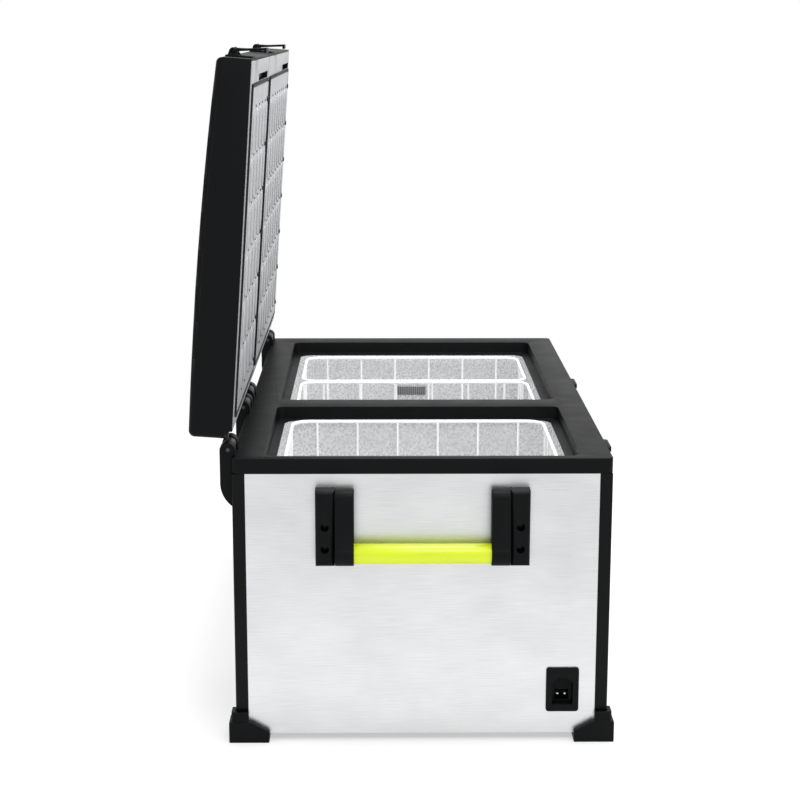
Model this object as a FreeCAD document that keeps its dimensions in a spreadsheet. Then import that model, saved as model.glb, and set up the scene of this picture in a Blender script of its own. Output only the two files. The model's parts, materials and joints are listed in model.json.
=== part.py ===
import FreeCAD, Part
import Sketcher
import math
import os

# A dual-compartment compressor cooler fridge: a long insulated chest with two lids hinged on one long side.
# X runs across the chest (hinge side -X, latch side +X), Y along it (-Y is the power inlet end), Z is up.
# The lids stand open in the modelled pose. The chest is built about its own middle; at the end everything
# moves across by one shift, so that the origin lies on the ground under the middle of the open part's box.

os.makedirs("parts", exist_ok=True)
doc = FreeCAD.newDocument("CoolerFridge")
sheet = doc.addObject("Spreadsheet::Sheet", "Size")

SIZES = (
    ("body_width", 500, "across the chest"),
    ("body_length", 900, "along the chest"),
    ("rim_height", 392, "top of the frame above the ground"),
    ("rim_depth", 21, "height of the moulded top frame"),
    ("rim_corner", 8, "outer corner radius of the top frame"),
    ("base_height", 10, "underside of the base pan above the ground"),
    ("pan_slots", 6, "air slots in the base pan"),
    ("pan_slot_length", 120, "air slot across the chest"),
    ("pan_slot_width", 8, "air slot along the chest"),
    ("pan_slot_pitch", 24, "spacing of the air slots"),
    ("pan_slot_start", 90, "first air slot from the inlet end"),
    ("near_margin", 16, "frame width at the inlet end"),
    ("far_margin", 45, "frame width at the far end"),
    ("side_margin", 42, "frame width along both sides"),
    ("divider_width", 50, "frame bar between the compartments"),
    ("near_well", 303, "length of the near opening"),
    ("well_corner", 12, "corner radius of the frame openings"),
    ("lip_gauge", 2, "frame lip over the liner's ledge"),
    ("panel_gauge", 1.2, "steel sheet of the casing"),
    ("panel_recess", 1, "sheet face below the post face"),
    ("post_width", 17, "corner post leg"),
    ("post_corner", 3, "outer corner radius of a post"),
    ("liner_gauge", 1.2, "aluminium liner sheet"),
    ("liner_corner", 20, "inner corner radius of the liners"),
    ("liner_lap", 8, "liner flange clamped under the frame"),
    ("ledge_side", 12, "liner ledge along the sides"),
    ("ledge_near", 22, "liner ledge at the inlet end"),
    ("ledge_divider", 4, "liner ledge each side of the divider"),
    ("ledge_far", 14, "liner ledge at the far end"),
    ("near_floor", 190, "floor of the shallow compartment"),
    ("far_floor", 60, "floor of the deep compartment"),
    ("evaporator_gauge", 2, "evaporator sheet around each liner"),
    ("evaporator_drop", 40, "evaporator top below the liner flange"),
    ("slip_gap", 0.3, "clearance between parts that only touch"),
    ("pocket_gap", 1, "room in the foam round what it holds"),
    ("bay_height", 165, "ceiling of the machine bay"),
    ("bay_length", 308, "machine bay from the inlet end panel"),
    ("foot_size", 54, "corner foot, square in plan"),
    ("foot_overhang", 9, "foot beyond the casing"),
    ("foot_wall", 29, "height of the foot's corner block"),
    ("foot_toe", 15, "height of the foot's inner ends"),
    ("foot_flat", 30, "full-height length of the foot"),
    ("collar_height", 42, "top of the foot's collar"),
    ("collar_overhang", 6, "collar beyond the casing"),
    ("collar_corner", 5, "corner radius of the collar"),
    ("basket_side_gap", 9, "basket to the liner's side walls"),
    ("near_basket_gap", 9.5, "shallow basket to the liner's end wall"),
    ("far_basket_start", 21.5, "first deep basket from the divider face"),
    ("basket_gap", 2.5, "between the two deep baskets"),
    ("near_basket_inset", 7.5, "basket from the divider face, near side"),
    ("far_basket_inset", 38, "basket from the far frame bar"),
    ("basket_drop", 18, "top of the basket rims below the frame top"),
    ("basket_wire", 3, "basket bar thickness"),
    ("basket_pitch", 59.5, "spacing of the basket uprights"),
    ("hinge_offset", 5, "hinge axis outside the casing"),
    ("hinge_rise", 9, "hinge axis above the rim"),
    ("hinge_reach", 11, "hinge bracket around its pin"),
    ("hinge_inner", 9.5, "hinge bracket inside its pin"),
    ("hinge_crown", 10.3, "arc over the hinge bracket"),
    ("hinge_taper_height", 30, "tapered foot of the hinge bracket"),
    ("hinge_taper_radius", 40, "arc of the tapered foot"),
    ("hinge_length", 60, "hinge bracket along the lid"),
    ("hinge_drop", 68, "hinge bracket below the rim"),
    ("hinge_inset", 40, "hinge bracket centre from the lid end"),
    ("knuckle_width", 24, "lid leaf along its pin"),
    ("knuckle_wall", 5.5, "lid leaf barrel round its pin"),
    ("knuckle_room", 2, "bracket floor below the knuckle"),
    ("knuckle_play", 1, "knuckle between the bracket's ears, in all"),
    ("leaf_gauge", 3, "lid leaf plate"),
    ("hinge_pin_radius", 2.5, "hinge pin"),
    ("running_gap", 0.05, "radial clearance of a turning pin"),
    ("press_gap", 0.02, "radial clearance of a held pin"),
    ("lid_open_angle", 86, "lid from closed to its open stop"),
    ("lid_lift", 4, "lid rim above the frame"),
    ("lid_rear_gap", 16, "lid's rear face from the hinge axis"),
    ("lid_front_inset", 1, "lid front face inside the casing"),
    ("lid_end_inset", 1, "lid end inside the casing end"),
    ("lid_gap", 4, "between the two lids"),
    ("lid_notch_depth", 11, "rear rebate over the hinge, across"),
    ("lid_notch_height", 10, "rear rebate over the hinge, up"),
    ("lid_rear_height", 56.8, "lid at the hinge side"),
    ("lid_front_height", 44, "lid at the latch side"),
    ("lid_crown_radius", 5600, "arc of the lid's top"),
    ("lid_edge", 8, "rounding of the lid's top edges"),
    ("lid_wall", 3, "lid shell wall"),
    ("lid_plate_gauge", 2.5, "inner lid plate"),
    ("lid_plate_drop", 1, "inner lid plate proud of the shell's edge"),
    ("plug_gap", 0.5, "raised lid panel above the frame"),
    ("plug_inset", 1, "raised lid panel inside the opening"),
    ("plug_reach", 6, "raised lid panel past the opening at the latch side"),
    ("plug_edge", 2.4, "bevel of the raised lid panel"),
    ("gasket_width", 3.5, "lid seal round the raised panel"),
    ("pocket_length", 180, "pocket in the inner lid plate"),
    ("pocket_width", 9, "pocket in the inner lid plate"),
    ("pocket_depth", 8, "pocket in the inner lid plate"),
    ("pocket_inset", 20, "pocket from the far end of its lid"),
    ("latch_width", 50, "latch across its base"),
    ("latch_near_place", 84, "near latch centre from the near lid end"),
    ("latch_far_place", 159, "far latch centre from the far lid's near end"),
    ("latch_pivot_rise", 32, "latch pivot above the frame top"),
    ("latch_pivot_out", 6.5, "latch pivot outside the lid face"),
    ("latch_barrel_wall", 2, "latch lever barrel round its trunnion"),
    ("latch_trunnion", 2.5, "latch lever trunnion radius"),
    ("trunnion_inset", 0.5, "trunnion inside the ears' outer faces"),
    ("latch_ear", 5.5, "latch base ear thickness"),
    ("latch_ear_over", 1, "latch ear past the barrel"),
    ("latch_ear_root", 8, "half height of the ear at its plate"),
    ("latch_plate_border", 2, "latch plate beyond its ears"),
    ("latch_plate_gauge", 2, "latch plate"),
    ("latch_plate_below", 24, "latch plate below the pivot"),
    ("latch_plate_above", 10, "latch plate above the pivot"),
    ("latch_release_angle", 6, "lever swing that frees the keeper"),
    ("keeper_out", 5, "keeper beyond the casing"),
    ("keeper_drop", 0.5, "keeper below the frame top"),
    ("keeper_skin", 1, "keeper's back plate"),
    ("keeper_inset", 1, "keeper's back plate above the frame foot"),
    ("keeper_round", 4.5, "keeper's outer corners"),
    ("keeper_height", 6, "keeper thickness"),
    ("hook_gauge", 3, "latch lever plate"),
    ("hook_gap", 0.6, "hook to keeper when latched"),
    ("hook_tip_gap", 2, "hook tip to the frame's side"),
    ("lever_knee", 16, "lever's knee below its pivot"),
    ("finger_slot_length", 24, "finger slot along the chest"),
    ("finger_slot_top", 14, "finger slot below the pivot"),
    ("finger_slot_height", 14, "finger slot"),
    ("grip_radius", 13.5, "carry handle tube"),
    ("grip_wall", 2.5, "carry handle tube wall"),
    ("grip_length", 180, "exposed tube between the arms"),
    ("grip_seat", 12, "tube pushed into each arm"),
    ("arm_clear", 1, "arm in front of the end panel"),
    ("grip_drop", 74.5, "tube axis below the handle pivot"),
    ("arm_width", 25, "handle arm"),
    ("arm_wall", 2.5, "arm around the tube"),
    ("arm_gap", 0.5, "between arm and mount"),
    ("pivot_drop", 50, "handle pivot below the frame top"),
    ("pivot_out", 12.5, "handle pivot in front of the end panel"),
    ("pivot_wall", 7, "arm around its pivot pin"),
    ("arm_neck_top", 10, "half depth of the arm below its pivot"),
    ("arm_neck_foot", 14, "half depth of the arm above the tube"),
    ("pivot_pin_radius", 4, "handle pivot pin"),
    ("pivot_pin_length", 36, "handle pivot pin"),
    ("pivot_pin_inset", 1, "pivot pin inside the mount's outer face"),
    ("mount_width", 25, "handle mount"),
    ("mount_depth", 24, "handle mount from the end panel"),
    ("mount_drop", 90.5, "lower end of the handle mount below the pivot"),
    ("screw_drop", 37, "upper handle screw below the pivot"),
    ("screw_pitch", 30, "between the two handle screws"),
    ("screw_radius", 2.5, "handle screw shank"),
    ("screw_head", 4.5, "handle screw head radius"),
    ("screw_head_height", 4, "handle screw head"),
    ("screw_reach", 8, "handle screw behind the end panel"),
    ("screw_recess_gap", 1, "screw recess around the head"),
    ("screw_tip", 9, "room for a handle screw's tip behind the sheet"),
    ("screw_seat", 8, "screw head above the end panel"),
    ("inlet_width", 44, "power inlet flange"),
    ("inlet_tall", 62, "power inlet flange"),
    ("inlet_inset", 61, "power inlet centre from the latch side"),
    ("inlet_height", 72, "power inlet centre above the ground"),
    ("inlet_border", 8, "power inlet flange around its recess"),
    ("inlet_flange", 2.5, "power inlet flange thickness"),
    ("inlet_depth", 32, "power inlet behind the panel"),
    ("inlet_corner", 4, "corner radius of the flange"),
    ("inlet_sill", 2, "recess above the flange's lower border"),
    ("inlet_head", 6, "recess below the flange's upper border"),
    ("inlet_bevel", 8, "bevelled head of the recess"),
    ("inlet_step", 12, "depth of the recess"),
    ("inlet_wall", 3, "back wall of the contact chamber"),
    ("chamber_width", 18, "contact chamber"),
    ("chamber_height", 14, "contact chamber"),
    ("inlet_pin_pitch", 10, "spacing of the contact pins"),
    ("inlet_pin_rise", 9, "contact pins above the recess's sill"),
    ("inlet_pin_inset", 14, "contact pin tips behind the sheet's face"),
    ("inlet_pin_radius", 1.5, "contact pin"),
    ("console_length", 150, "control panel"),
    ("console_tall", 56, "control panel"),
    ("console_inset", 344, "control panel centre from the inlet end"),
    ("console_drop", 74, "control panel centre below the frame top"),
    ("console_depth", 12, "control panel behind the sheet"),
    ("console_face", 3, "control panel face"),
    ("console_corner", 6, "corner radius of the face"),
    ("console_border", 4, "face beyond the box behind it"),
    ("console_wall", 2, "wall of the box"),
    ("console_room", 4, "room in the foam behind the box"),
    ("window_length", 52, "display window"),
    ("window_tall", 26, "display window"),
    ("window_place", -34, "window centre from the panel's centre"),
    ("window_sink", 0.5, "window below the face"),
    ("board_gauge", 1.6, "circuit board"),
    ("display_border", 3, "window beyond the display"),
    ("display_gap", 1, "display behind the window"),
    ("switch_size", 7, "switch under a button"),
    ("button_size", 12, "square button"),
    ("button_first", 10, "first button from the panel's centre"),
    ("button_pitch", 24, "spacing of the buttons"),
    ("button_root", 2, "button behind the face"),
    ("button_rise", 1.5, "button in front of the face"),
    ("button_edge", 0.8, "rounding of a button"),
    ("button_travel", 1, "button stroke"),
    ("vent_length", 150, "vent grille"),
    ("vent_tall", 100, "vent grille"),
    ("vent_inset", 160, "vent and fan centre from the inlet end"),
    ("vent_height", 85, "vent centre above the ground"),
    ("vent_border", 6, "vent grille around its slots"),
    ("vent_slot", 5, "vent slot"),
    ("vent_slots", 7, "slots in a vent grille"),
    ("vent_face", 2, "vent grille face"),
    ("vent_corner", 5, "corner radius of a vent grille"),
    ("fan_size", 120, "fan frame"),
    ("fan_depth", 25, "fan frame"),
    ("fan_wall", 3, "fan frame around its opening"),
    ("fan_hub", 20, "fan hub radius"),
    ("fan_tip_gap", 2, "blade tip to fan frame"),
    ("fan_foot", 2, "fan frame above and below its square"),
    ("spider_gauge", 4, "spider arm, across the chest"),
    ("spider_width", 6, "spider arm"),
    ("spider_bite", 1, "spider arm into the frame"),
    ("axle_radius", 3, "fan axle"),
    ("axle_inset", 4, "fan axle inside the frame's outer face"),
    ("hub_inset", 6, "hub from the spider's face"),
    ("hub_out", 1, "hub inside the frame's outer face"),
    ("fan_blades", 7, "blades"),
    ("blade_inset", 10, "blade from the spider's face"),
    ("blade_out", 6, "blade inside the frame's outer face"),
    ("blade_root", 1, "blade into the hub"),
    ("fan_inset", 50, "fan centre plane from the latch side"),
    ("coil_length", 220, "condenser"),
    ("coil_depth", 36, "condenser"),
    ("coil_tall", 130, "condenser"),
    ("coil_gap", 6, "condenser to fan"),
    ("coil_foot", 2, "condenser foot plate"),
    ("coil_fins", 19, "condenser fins"),
    ("fin_gauge", 1, "condenser fin"),
    ("coil_tubes", 4, "rows of tube"),
    ("coil_tube_height", 22, "lowest tube above the foot"),
    ("coil_tube_pitch", 30, "spacing of the tubes"),
    ("coil_tube_radius", 4, "condenser tube"),
    ("can_radius", 65, "compressor shell"),
    ("can_height", 118, "compressor shell"),
    ("can_inset", 140, "compressor centre from the hinge side"),
    ("can_crown", 30, "rounding of the shell's top"),
    ("can_plate", 3, "compressor foot plate"),
    ("can_plate_length", 190, "compressor foot plate across the chest"),
    ("can_plate_width", 120, "compressor foot plate along the chest"),
    ("terminal_bite", 6, "terminal box into the shell"),
    ("terminal_out", 22, "terminal box outside the shell"),
    ("terminal_width", 60, "terminal box"),
    ("terminal_foot", 30, "terminal box above the foot plate"),
    ("terminal_height", 60, "terminal box"),
    ("pipe_place", 40, "stub pipes from the shell's middle, across"),
    ("pipe_pitch", 44, "spacing of the stub pipes"),
    ("pipe_radius", 4, "stub pipe"),
    ("pipe_rise", 12, "stub pipe above the shell"),
    ("lamp_length", 50, "cabin light"),
    ("lamp_tall", 16, "cabin light"),
    ("lamp_depth", 4, "cabin light"),
    ("lamp_drop", 84, "cabin light below the frame top"),
)

# Sizes that follow from the ones above, as formulas over the same sheet.
FOLLOWING = (
    ("basket_rim", "=rim_height - basket_drop", "top of the basket rims above the ground"),
    ("basket_width", "=body_width - 2 * (side_margin + ledge_side + basket_side_gap)", "outside of a basket"),
    ("near_basket_length", "=near_well - near_basket_inset - ledge_near - near_basket_gap", "shallow basket"),
    ("far_well", "=body_length - near_margin - near_well - divider_width - far_margin", "far opening"),
    ("far_baskets", "=far_well - far_basket_inset - far_basket_start", "both deep baskets and their gap"),
    ("far_basket_length", "=(far_baskets - basket_gap) / 2", "each basket of the deep compartment"),
    ("knuckle_radius", "=hinge_pin_radius + knuckle_wall", "lid leaf barrel"),
    ("latch_barrel", "=latch_trunnion + latch_barrel_wall", "latch lever barrel radius"),
    ("arm_radius", "=grip_radius + arm_wall", "arm around the tube"),
    ("grip_out", "=arm_radius + arm_clear", "tube axis in front of the end panel"),
    ("pivot_height", "=rim_height - pivot_drop", "handle pivot above the ground"),
    ("pivot_boss", "=pivot_pin_radius + pivot_wall", "arm around its pivot"),
    ("grip_height", "=pivot_height - grip_drop", "tube axis above the ground"),
    ("mount_foot", "=pivot_height - mount_drop", "lower end of the handle mount"),
    ("screw_upper", "=pivot_height - screw_drop", "upper handle screw"),
    ("screw_lower", "=screw_upper - screw_pitch", "lower handle screw"),
    ("screw_recess", "=screw_head + screw_recess_gap", "screw recess radius"),
    ("inlet_place", "=body_width / 2 - inlet_inset", "power inlet centre from the middle"),
    ("console_place", "=console_inset - body_length / 2", "control panel centre along the chest"),
    ("console_height", "=rim_height - console_drop", "control panel centre above the ground"),
    ("vent_place", "=vent_inset - body_length / 2", "vent and fan centre along the chest"),
    ("fan_bore", "=fan_size / 2 - fan_wall", "fan opening radius"),
    ("fan_place", "=body_width / 2 - fan_inset", "fan centre plane across the chest"),
    ("can_place", "=can_inset - body_width / 2", "compressor centre across the chest"),
    ("lamp_height", "=rim_height - lamp_drop", "cabin light above the ground"),
)
for row, (alias, value, note) in enumerate(SIZES + FOLLOWING, start=1):
    sheet.set(f"A{row}", alias)
    sheet.set(f"B{row}", str(value))
    sheet.set(f"C{row}", note)
    sheet.setAlias(f"B{row}", alias)
doc.recompute()


def number(expression):
    """The value of an expression over the sheet, in millimetres or degrees."""
    return float(sheet.evalExpression(str(expression)))


# Places that several parts share, as expressions over the sheet.
SIDE = "(Size.body_width / 2)"
END = "(Size.body_length / 2)"
SHEET_SIDE = f"({SIDE} - Size.panel_recess)"
SHEET_END = f"({END} - Size.panel_recess)"
INNER_SIDE = f"({SHEET_SIDE} - Size.panel_gauge)"
INNER_END = f"({SHEET_END} - Size.panel_gauge)"
RIM_FOOT = "(Size.rim_height - Size.rim_depth)"
PAN_TOP = "(Size.base_height + Size.panel_gauge)"
WELL_SIDE = f"({SIDE} - Size.side_margin)"
NEAR_WELL = (f"(-{END} + Size.near_margin)", f"(-{END} + Size.near_margin + Size.near_well)")
FAR_WELL = (f"({NEAR_WELL[1]} + Size.divider_width)", f"({END} - Size.far_margin)")
LINER_SIDE = f"({WELL_SIDE} - Size.ledge_side)"
NEAR_LINER = (f"({NEAR_WELL[0]} + Size.ledge_near)", f"({NEAR_WELL[1]} - Size.ledge_divider)")
FAR_LINER = (f"({FAR_WELL[0]} + Size.ledge_divider)", f"({FAR_WELL[1]} - Size.ledge_far)")
BAY_TOP = "Size.bay_height"
BAY_END = f"(-{INNER_END} + Size.bay_length)"
SPLIT = f"({NEAR_WELL[1]} + Size.divider_width / 2)"

HINGE_X = f"(-{SIDE} - Size.hinge_offset)"
HINGE_Z = "(Size.rim_height + Size.hinge_rise)"
LID_BASE = "(Size.rim_height + Size.lid_lift)"
LID_REAR = f"({HINGE_X} + Size.lid_rear_gap)"
LID_FRONT = f"({SIDE} - Size.lid_front_inset)"
NEAR_LID = (f"(-{END} + Size.lid_end_inset)", f"({SPLIT} - Size.lid_gap / 2)")
FAR_LID = (f"({SPLIT} + Size.lid_gap / 2)", f"({END} - Size.lid_end_inset)")
PIVOT_X = f"({LID_FRONT} + Size.latch_pivot_out)"
PIVOT_Z = "(Size.rim_height + Size.latch_pivot_rise)"

LIDS = {"near": (NEAR_LID, NEAR_WELL), "far": (FAR_LID, FAR_WELL)}
HINGES = {
    key: (f"({lid[0]} + Size.hinge_inset)", f"({lid[1]} - Size.hinge_inset)")
    for key, (lid, _) in LIDS.items()
}
LATCHES = {
    "near": f"({NEAR_LID[0]} + Size.latch_near_place)",
    "far": f"({FAR_LID[0]} + Size.latch_far_place)",
}

ENDS = {"near": -1, "far": 1}
SIDES = {"hinge": -1, "latch": 1}

PLANES = {"XY": "XY_Plane", "XZ": "XZ_Plane", "YZ": "YZ_Plane"}
handed_in = []


def member_body(label):
    """A body made of sketches and features."""
    body = doc.addObject("PartDesign::Body", label)
    body.Label = label
    return body


def new_body(label):
    """A body that is a sub-part by itself, handed in under its label."""
    body = member_body(label)
    handed_in.append(body)
    return body


def origin_plane(body, name):
    return next(item for item in body.Origin.OriginFeatures if item.Role == PLANES[name])


def new_sketch(body, plane, low, high):
    """A sketch on an origin plane, shifted so that an extrusion along its normal fills low to high."""
    sketch = body.newObject("Sketcher::SketchObject", "Sketch")
    sketch.AttachmentSupport = (origin_plane(body, plane), [""])
    sketch.MapMode = "FlatFace"
    shift = f"-({high})" if plane == "XZ" else low
    sketch.setExpression("AttachmentOffset.Base.z", shift)
    return sketch


def fix_point(sketch, geometry, end, x, y):
    for kind, place in (("DistanceX", x), ("DistanceY", y)):
        index = sketch.addConstraint(Sketcher.Constraint(kind, -1, 1, geometry, end, number(place)))
        sketch.setExpression(f"Constraints[{index}]", place)


def arc_between(start, end, radius, side):
    """The arc of that radius from start to end whose centre is to the left (1) or right (-1)."""
    chord = end - start
    middle = (start + end) / 2
    height = math.sqrt(max(radius**2 - (chord.Length / 2) ** 2, 0))
    normal = FreeCAD.Vector(-chord.y, chord.x, 0).normalize()
    centre = middle + normal * (side * height)
    circle = Part.Circle(centre, FreeCAD.Vector(0, 0, 1), radius)
    first, last = (start, end) if side > 0 else (end, start)
    return Part.ArcOfCircle(circle, circle.parameter(first), circle.parameter(last))


def add_loop(sketch, points):
    """A closed outline of (x, y) corners. A corner (x, y, radius, side) starts an arc to the next one."""
    count = len(points)
    corners = [FreeCAD.Vector(number(p[0]), number(p[1]), 0) for p in points]
    spans = []
    for index, point in enumerate(points):
        start, end = corners[index], corners[(index + 1) % count]
        if len(point) == 2:
            spans.append((sketch.addGeometry(Part.LineSegment(start, end), False), 1, 2))
            continue
        arc = arc_between(start, end, number(point[2]), point[3])
        ends = (1, 2) if point[3] > 0 else (2, 1)
        spans.append((sketch.addGeometry(arc, False), *ends))
    for index, (geometry, _, last) in enumerate(spans):
        following, first, _ = spans[(index + 1) % count]
        sketch.addConstraint(Sketcher.Constraint("Coincident", geometry, last, following, first))
    for (geometry, first, _), point in zip(spans, points):
        fix_point(sketch, geometry, first, point[0], point[1])
        if len(point) == 4:
            radius = sketch.addConstraint(Sketcher.Constraint("Radius", geometry, number(point[2])))
            sketch.setExpression(f"Constraints[{radius}]", point[2])


def add_circle(sketch, x, y, radius):
    centre = FreeCAD.Vector(number(x), number(y), 0)
    circle = Part.Circle(centre, FreeCAD.Vector(0, 0, 1), number(radius))
    geometry = sketch.addGeometry(circle, False)
    fix_point(sketch, geometry, 3, x, y)
    index = sketch.addConstraint(Sketcher.Constraint("Radius", geometry, number(radius)))
    sketch.setExpression(f"Constraints[{index}]", radius)


def extrude(body, plane, low, high, loops=(), circles=(), cut=False):
    """Pad or pocket the outlines from low to high along the plane's axis."""
    if number(low) > number(high):
        low, high = high, low
    sketch = new_sketch(body, plane, low, high)
    for points in loops:
        add_loop(sketch, points)
    for x, y, radius in circles:
        add_circle(sketch, x, y, radius)
    before = body.Shape.Volume if cut else 0
    feature = body.newObject("PartDesign::Pocket" if cut else "PartDesign::Pad", "Cut" if cut else "Pad")
    feature.Profile = sketch
    feature.setExpression("Length", f"({high}) - ({low})")
    feature.Reversed = cut
    doc.recompute()
    if cut and body.Shape.Volume >= before:
        raise RuntimeError(f"a cut in {body.Label} removes nothing")
    return feature


def rectangle(x, y):
    """The corners of a rectangle between the two values of x and the two of y."""
    return [(x[0], y[0]), (x[1], y[0]), (x[1], y[1]), (x[0], y[1])]


def both(expression):
    """A pair of places, the same distance each side of zero."""
    return (f"(-{expression})", expression)


def about(centre, size):
    """A pair of places, half of size each side of centre."""
    return (f"({centre} - {size} / 2)", f"({centre} + {size} / 2)")


def round_edges(body, radius, wanted, bevel=False):
    """Fillet or chamfer the edges of the body's last feature that wanted(middle, direction) picks."""
    names = []
    for index, edge in enumerate(body.Tip.Shape.Edges, start=1):
        middle = edge.valueAt((edge.FirstParameter + edge.LastParameter) / 2)
        run = edge.Vertexes[-1].Point - edge.Vertexes[0].Point
        if run.Length > 0:
            run.normalize()
        if wanted(middle, run):
            names.append(f"Edge{index}")
    if not names:
        raise RuntimeError(f"no edge to round in {body.Label}")
    kind = "Chamfer" if bevel else "Fillet"
    base = body.Tip
    feature = body.newObject(f"PartDesign::{kind}", kind)
    feature.Base = (base, names)
    feature.setExpression("Size" if bevel else "Radius", radius)
    doc.recompute()
    return feature


def upright_at(corners):
    """A test for vertical edges that stand on one of the (x, y) corners."""
    places = [(number(x), number(y)) for x, y in corners]

    def wanted(middle, run):
        near = any(math.hypot(middle.x - x, middle.y - y) < 0.1 for x, y in places)
        return abs(run.z) > 0.99 and near

    return wanted


def block(label, x, y, z):
    """A Part box between pairs of places, for groups and boolean tools."""
    box = doc.addObject("Part::Box", label)
    for axis, size, (low, high) in (("x", "Length", x), ("y", "Width", y), ("z", "Height", z)):
        box.setExpression(size, f"({high}) - ({low})")
        box.setExpression(f"Placement.Base.{axis}", low)
    return box


TURNS = {
    "x": FreeCAD.Rotation(FreeCAD.Vector(0, 1, 0), 90),
    "y": FreeCAD.Rotation(FreeCAD.Vector(1, 0, 0), -90),
    "z": FreeCAD.Rotation(),
}


def rod(label, axis, start, radius, length):
    """A Part cylinder from a start place (x, y, z) along an axis."""
    cylinder = doc.addObject("Part::Cylinder", label)
    cylinder.Placement = FreeCAD.Placement(FreeCAD.Vector(), TURNS[axis])
    cylinder.setExpression("Radius", radius)
    cylinder.setExpression("Height", length)
    for name, place in zip("xyz", start):
        cylinder.setExpression(f"Placement.Base.{name}", place)
    return cylinder


def group(label, members):
    """Separate solids that share one node."""
    compound = doc.addObject("Part::Compound", label)
    compound.Label = label
    compound.Links = members
    handed_in.append(compound)
    return compound


def fuse(label, members):
    joined = doc.addObject("Part::MultiFuse", label)
    joined.Label = label
    joined.Shapes = members
    return joined


def turned(x, z, angle, sense):
    """The placement that turns a part about a line along Y through x, z."""
    centre = FreeCAD.Vector(number(x), 0, number(z))
    turn = FreeCAD.Rotation(FreeCAD.Vector(0, sense, 0), number(angle))
    return FreeCAD.Placement(FreeCAD.Vector(), turn, centre)


LID_OPEN = turned(HINGE_X, HINGE_Z, "Size.lid_open_angle", -1)
LATCH_FREE = turned(PIVOT_X, PIVOT_Z, "Size.latch_release_angle", -1)


# ---- casing -------------------------------------------------------------------------------------------


def build_top_frame():
    """The moulded frame with its two openings, each with a thin lip over the liner's ledge."""
    body = new_body("top_frame")
    extrude(body, "XY", RIM_FOOT, "Size.rim_height", [rectangle(both(SIDE), both(END))])
    round_edges(body, "Size.rim_corner", lambda middle, run: abs(run.z) > 0.99)
    wells = [rectangle(both(WELL_SIDE), well) for well in (NEAR_WELL, FAR_WELL)]
    lip_top = f"({RIM_FOOT} + Size.lip_gauge)"
    extrude(body, "XY", lip_top, "Size.rim_height", wells, cut=True)
    corners = [corner for well in wells for corner in well]
    round_edges(body, "Size.well_corner", upright_at(corners))
    for span in (NEAR_LINER, FAR_LINER):
        rounded_box(body, both(LINER_SIDE), span, (RIM_FOOT, lip_top), "Size.liner_corner", cut=True)


def build_corner_posts():
    """Angle posts that cover the corners of the sheet casing."""
    for end, along in ENDS.items():
        for side, across in SIDES.items():
            body = new_body(f"corner_post_{end}_{side}")
            x = [f"{across} * {SIDE}", f"{across} * ({SIDE} - Size.post_width)", f"{across} * {INNER_SIDE}"]
            y = [f"{along} * {END}", f"{along} * ({END} - Size.post_width)", f"{along} * {INNER_END}"]
            angle = [(x[0], y[0]), (x[1], y[0]), (x[1], y[2]), (x[2], y[2]), (x[2], y[1]), (x[0], y[1])]
            extrude(body, "XY", "Size.base_height", RIM_FOOT, [angle])
            round_edges(body, "Size.post_corner", upright_at([(x[0], y[0])]))


def handle_centres():
    """Across the chest: the middle of each arm and of each mount."""
    arm = "(Size.grip_length / 2 + Size.arm_width / 2)"
    mount = "(Size.grip_length / 2 + Size.arm_width + Size.arm_gap + Size.mount_width / 2)"
    return arm, mount


def screw_places():
    _, mount = handle_centres()
    heights = ("Size.screw_upper", "Size.screw_lower")
    return [(f"{side} * {mount}", height) for side in (-1, 1) for height in heights]


def build_end_panels():
    """Steel end sheets, with the handle screw holes and, at the near end, the inlet's cut-out."""
    for name, along in ENDS.items():
        body = new_body(f"end_panel_{name}")
        y = (f"{along} * {SHEET_END}", f"{along} * {INNER_END}")
        width = both(f"({SIDE} - Size.post_width)")
        extrude(body, "XZ", *y, [rectangle(width, ("Size.base_height", RIM_FOOT))])
        holes = [(x, z, "(Size.screw_radius + Size.running_gap)") for x, z in screw_places()]
        extrude(body, "XZ", *y, circles=holes, cut=True)
        if name == "near":
            across = about("Size.inlet_place", "(Size.inlet_width - Size.inlet_border + 2 * Size.slip_gap)")
            up = about("Size.inlet_height", "(Size.inlet_tall - Size.inlet_border + 2 * Size.slip_gap)")
            extrude(body, "XZ", *y, [rectangle(across, up)], cut=True)


def build_side_panels():
    """Steel side sheets with their vent cut-outs, and the console's cut-out on the latch side."""
    for name, across in SIDES.items():
        body = new_body(f"side_panel_{name}")
        x = (f"{across} * {SHEET_SIDE}", f"{across} * {INNER_SIDE}")
        length = both(f"({END} - Size.post_width)")
        extrude(body, "YZ", *x, [rectangle(length, ("Size.base_height", RIM_FOOT))])
        along = about("Size.vent_place", "(Size.vent_length - 2 * Size.vent_border + 2 * Size.slip_gap)")
        up = about("Size.vent_height", "(Size.vent_tall - 2 * Size.vent_border + 2 * Size.slip_gap)")
        openings = [rectangle(along, up)]
        if name == "latch":
            room = "2 * Size.slip_gap - 2 * Size.console_border"
            along = about("Size.console_place", f"(Size.console_length + {room})")
            up = about("Size.console_height", f"(Size.console_tall + {room})")
            openings.append(rectangle(along, up))
        extrude(body, "YZ", *x, openings, cut=True)


def build_base_pan():
    """The bottom sheet, slotted for air under the machine bay."""
    body = new_body("base_pan")
    extrude(body, "XY", "Size.base_height", PAN_TOP, [rectangle(both(INNER_SIDE), both(INNER_END))])
    slots = []
    for index in range(round(number("Size.pan_slots"))):
        start = f"(-{INNER_END} + Size.pan_slot_start + {index} * Size.pan_slot_pitch)"
        along = (start, f"({start} + Size.pan_slot_width)")
        slots.append(rectangle(both("(Size.pan_slot_length / 2)"), along))
    extrude(body, "XY", "Size.base_height", PAN_TOP, slots, cut=True)


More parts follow.
